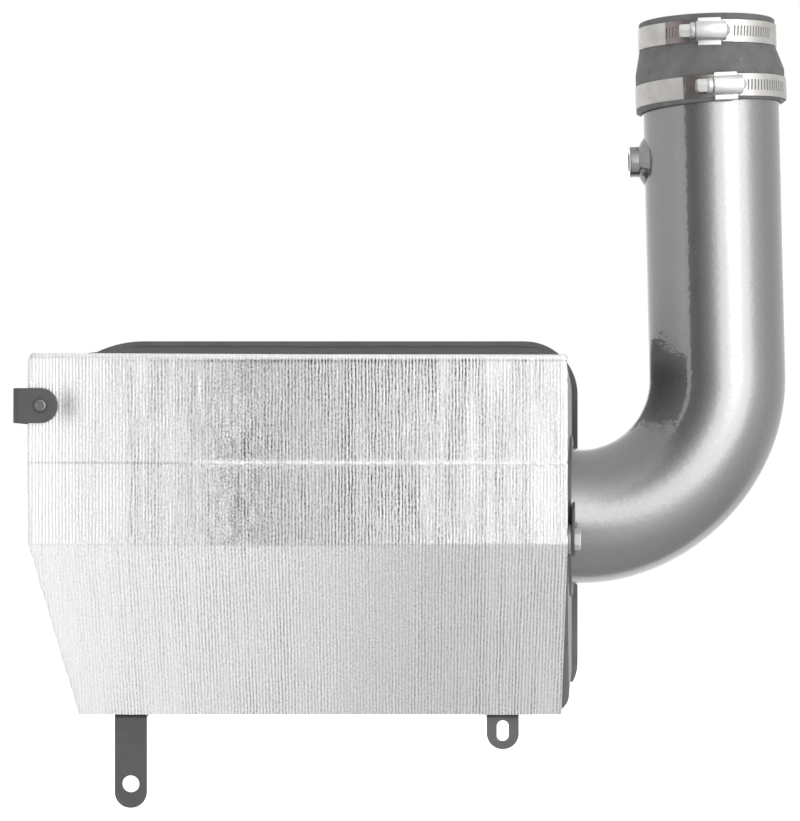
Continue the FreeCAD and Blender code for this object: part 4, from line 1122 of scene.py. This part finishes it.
# Stage
class Studio:
    """Floor, lamps, surroundings and camera, in metres."""

    eye = (-0.1861, -1.629, -0.2342)
    lens = 118.4
    aim = (-0.19, 0, -0.24)
    floor_height = -0.56
    lamps = (
        ("softbox", (0.96, -1.28, -0.08), 6.0, (0.55, 0.85)),
        ("fill", (-1.8, -1.6, 0.0), 3.5, (1.4, 0.8)),
        ("low", (-0.35, -0.8, -0.5), 2.4, (0.9, 0.3)),
        ("top", (-0.2, -0.3, 1.8), 6.0, (1.6, 1.2)),
        ("rear", (-0.2, 1.9, 0.6), 6.0, (1.4, 1.2)),
    )

    # Brightness of the room round the horizon, by bearing in degrees from the front towards +X, and
    # of the softbox's glow over it, by the angle from its middle
    room = (
        (-180, 2.2), (-150, 0.9), (-130, 0.8), (-75, 0.86), (-50.4, 1.08), (-50.0, 0.18),
        (0, 0.16), (40, 0.33), (75, 0.7), (120, 0.78), (150, 0.85), (180, 2.2),
    )
    glow = (
        (0, 1.0), (7, 0.93), (12, 0.64), (16, 0.53), (25, 0.5),
        (30, 0.3), (37, 0.14), (46, 0.07), (60, 0.02), (75, 0.0),
    )
    glow_middle = (26.5, 8.0)
    glow_strength = 4.5
    ceiling = 0.76
    ground = 0.68
    ground_behind = 0.7
    far_floor = 0.68
    ambient = 0.76

    def place(self, name: str, data: bpy.types.ID, where: Triple) -> Piece:
        """Put a lamp or a camera in the scene."""
        thing = bpy.data.objects.new(name, data)
        thing.location = where
        bpy.context.scene.collection.objects.link(thing)
        return thing

    def camera(self) -> None:
        """Level camera in front of the foil."""
        data = bpy.data.cameras.new("camera")
        data.lens, data.sensor_width, data.clip_end = self.lens, 36.0, 20.0
        camera = self.place("camera", data, self.eye)
        camera.rotation_euler = (math.pi / 2, 0, 0)
        bpy.context.scene.camera = camera

    def lamp(self, name: str, where: Triple, power: float, size: tuple[float, float]) -> None:
        """Area lamp that looks at the middle of the part and isn't seen by gloss."""
        data = bpy.data.lights.new(name, "AREA")
        data.shape, data.energy = "RECTANGLE", power
        data.size, data.size_y = size
        lamp = self.place(name, data, where)
        lamp.rotation_euler = (Vector(self.aim) - Vector(where)).to_track_quat("-Z", "Y").to_euler()
        lamp.visible_glossy = False

    def surroundings(self) -> None:
        """White to the camera; to gloss, a room whose brightness changes with the direction."""
        world = bpy.data.worlds.new("studio")
        bpy.context.scene.world = world
        world.use_nodes = True
        world.node_tree.nodes.clear()
        graph = Graph(world.node_tree)

        def by_angle(angle: Socket, levels: tuple[tuple[float, float], ...]) -> Socket:
            """Return the level at an angle in radians."""
            first, last = levels[0][0], levels[-1][0]
            share = graph.span(angle, 0.0, 1.0, math.radians(first), math.radians(last))
            stops = [((degrees - first) / (last - first), (level,) * 3) for degrees, level in levels]
            return graph.ramp(share, stops)

        def faded(level: Socket, low: float, high: float, beyond: object) -> Socket:
            """Fade a level towards another between two heights of the direction."""
            weight = graph.span(towards[2], 0.0, 1.0, low, high, interpolation_type="SMOOTHSTEP")
            kept = graph.math("MULTIPLY", level, graph.math("SUBTRACT", 1.0, weight))
            return graph.math("ADD", kept, graph.math("MULTIPLY", weight, beyond))

        def light(strength: object) -> Socket:
            """Return a white light."""
            return graph.node("Background", {0: (1, 1, 1, 1), 1: strength}).outputs[0]

        def mixed(share: Socket, first: Socket, second: Socket) -> Socket:
            """Return a mix of two lights."""
            return graph.node("MixShader", {0: share, 1: first, 2: second}).outputs[0]

        direction = graph.node("TexCoord").outputs["Generated"]
        towards = graph.node("SeparateXYZ", {0: direction}).outputs
        around = graph.math("ARCTAN2", towards[0], graph.math("MULTIPLY", towards[1], -1.0))
        bearing, rise = np.radians(self.glow_middle)
        middle = (math.sin(bearing) * math.cos(rise), -math.cos(bearing) * math.cos(rise), math.sin(rise))
        dot = graph.node("VectorMath", {0: direction, 1: middle}, operation="DOT_PRODUCT").outputs["Value"]
        glow = graph.math("MULTIPLY", by_angle(graph.math("ARCCOSINE", dot), self.glow), self.glow_strength)
        walls = faded(by_angle(around, self.room), 0.35, 0.65, self.ceiling)
        behind = graph.span(towards[1], self.ground, self.ground * self.ground_behind, -0.1, 0.5)
        lit_floor = graph.span(towards[1], 0.0, self.far_floor, 0.46, 0.6)
        walls = faded(walls, -0.25, -0.65, graph.math("ADD", behind, lit_floor))
        rays = graph.node("LightPath").outputs
        lit = mixed(rays["Is Glossy Ray"], light(self.ambient), light(graph.math("ADD", walls, glow)))
        seen = graph.math("MAXIMUM", rays["Is Camera Ray"], rays["Is Transmission Ray"])
        graph.node("OutputWorld", {0: mixed(seen, lit, light(1.0))})

    def floor(self) -> None:
        """Pale floor below the strap, wide enough to meet the white behind it."""
        x, near, far, height = 9000.0, -3000.0, 9000.0, self.floor_height / MM
        corners = np.array([[-x, near, height], [x, near, height], [x, far, height], [-x, far, height]])
        floor = skin("floor", corners, [[0, 1, 2, 3]])
        white = (1, 1, 1, 1)
        recipe = Recipe("pale_floor", Base_Color=(0.9, 0.9, 0.9, 1), Roughness=0.8, Emission_Color=white)
        seen = recipe.node("LightPath").outputs["Is Camera Ray"]
        recipe.link(recipe.math("MULTIPLY", seen, 0.5), "Emission Strength")
        floor.data.materials.append(recipe.material)
        floor.visible_glossy = False

    def build(self) -> None:
        """Set up the studio."""
        self.camera()
        self.surroundings()
        self.floor()
        for lamp in self.lamps:
            self.lamp(*lamp)
        bpy.context.scene.view_settings.view_transform = "Standard"


def soften(piece: Piece, width: float) -> None:
    """Round a solid's sharp edges by a width in millimetres."""
    weld = piece.modifiers.new("weld", "WELD")
    weld.merge_threshold = 1e-5
    bevel = piece.modifiers.new("edges", "BEVEL")
    bevel.width, bevel.segments, bevel.limit_method = width * MM, 2, "ANGLE"
    bevel.angle_limit = math.radians(40)
    piece.modifiers.new("normals", "WEIGHTED_NORMAL").keep_sharp = True


def dress_solids(finishes: Finishes) -> None:
    """Give the solids that stay their finishes, and some of them softer edges, in millimetres."""
    for finish, edges in (
        (finishes.moulded, {"filter_flange": 0, "filter_cap": 0}),
        (finishes.gauze, {"filter_media": 0}),
        (finishes.shell, {"shield_shell": 0}),
        (finishes.trim, {"rim_trim": 0, "hole_trim": 0}),
        (finishes.bracket, {"side_bracket": 0.4, "long_strap": 0.4}),
        (finishes.rivet, {"bracket_rivet": 0, "strap_rivets": 0}),
        (finishes.tab, {"slotted_tab": 0.4, "pipe_mount_tab": 0.25}),
        (finishes.bolt, {"mount_bolt": 0, "mount_washer": 0.2, "mount_nut": 0.3}),
    ):
        for name, width in edges.items():
            node = frame["nodes"][name]
            node.data.materials.clear()
            node.data.materials.append(finish)
            if width:
                soften(node, width)


def main() -> None:
    """Build the sub-assemblies in order and set the stage."""
    logging.basicConfig(level=logging.INFO, format="%(name)s: %(message)s")
    layout, finishes = Layout(), Finishes()
    Pipe(layout).build(finishes)
    Hose(layout).build(finishes)
    askew = turn(1.0, (1, 0, 0)) @ turn(0.2, (0, 1, 0)) @ turn(-4.6, (0, 0, 1))
    Clamp("upper_clamp", layout.upper @ shift(x=-1.1, z=-9.95) @ askew, 40.75, along=0.8).build(finishes)
    askew = turn(1.65, (0, -1, 0)) @ turn(4.6, (0, 0, 1))
    place = layout.upper @ shift(x=0.3, z=-43.4) @ askew
    Clamp("lower_clamp", place, 44.625, slots_left=9, slots_from=5.5).build(finishes)
    place = layout.inward @ shift(z=38.4) @ turn(150.0, (0, 0, 1))
    Clamp("filter_clamp", place, 46.425, rubber="filter_rubber").build(finishes)
    Mat(layout).build(finishes)
    dress_solids(finishes)
    Studio().build()


if __name__ == "__main__":
    main()
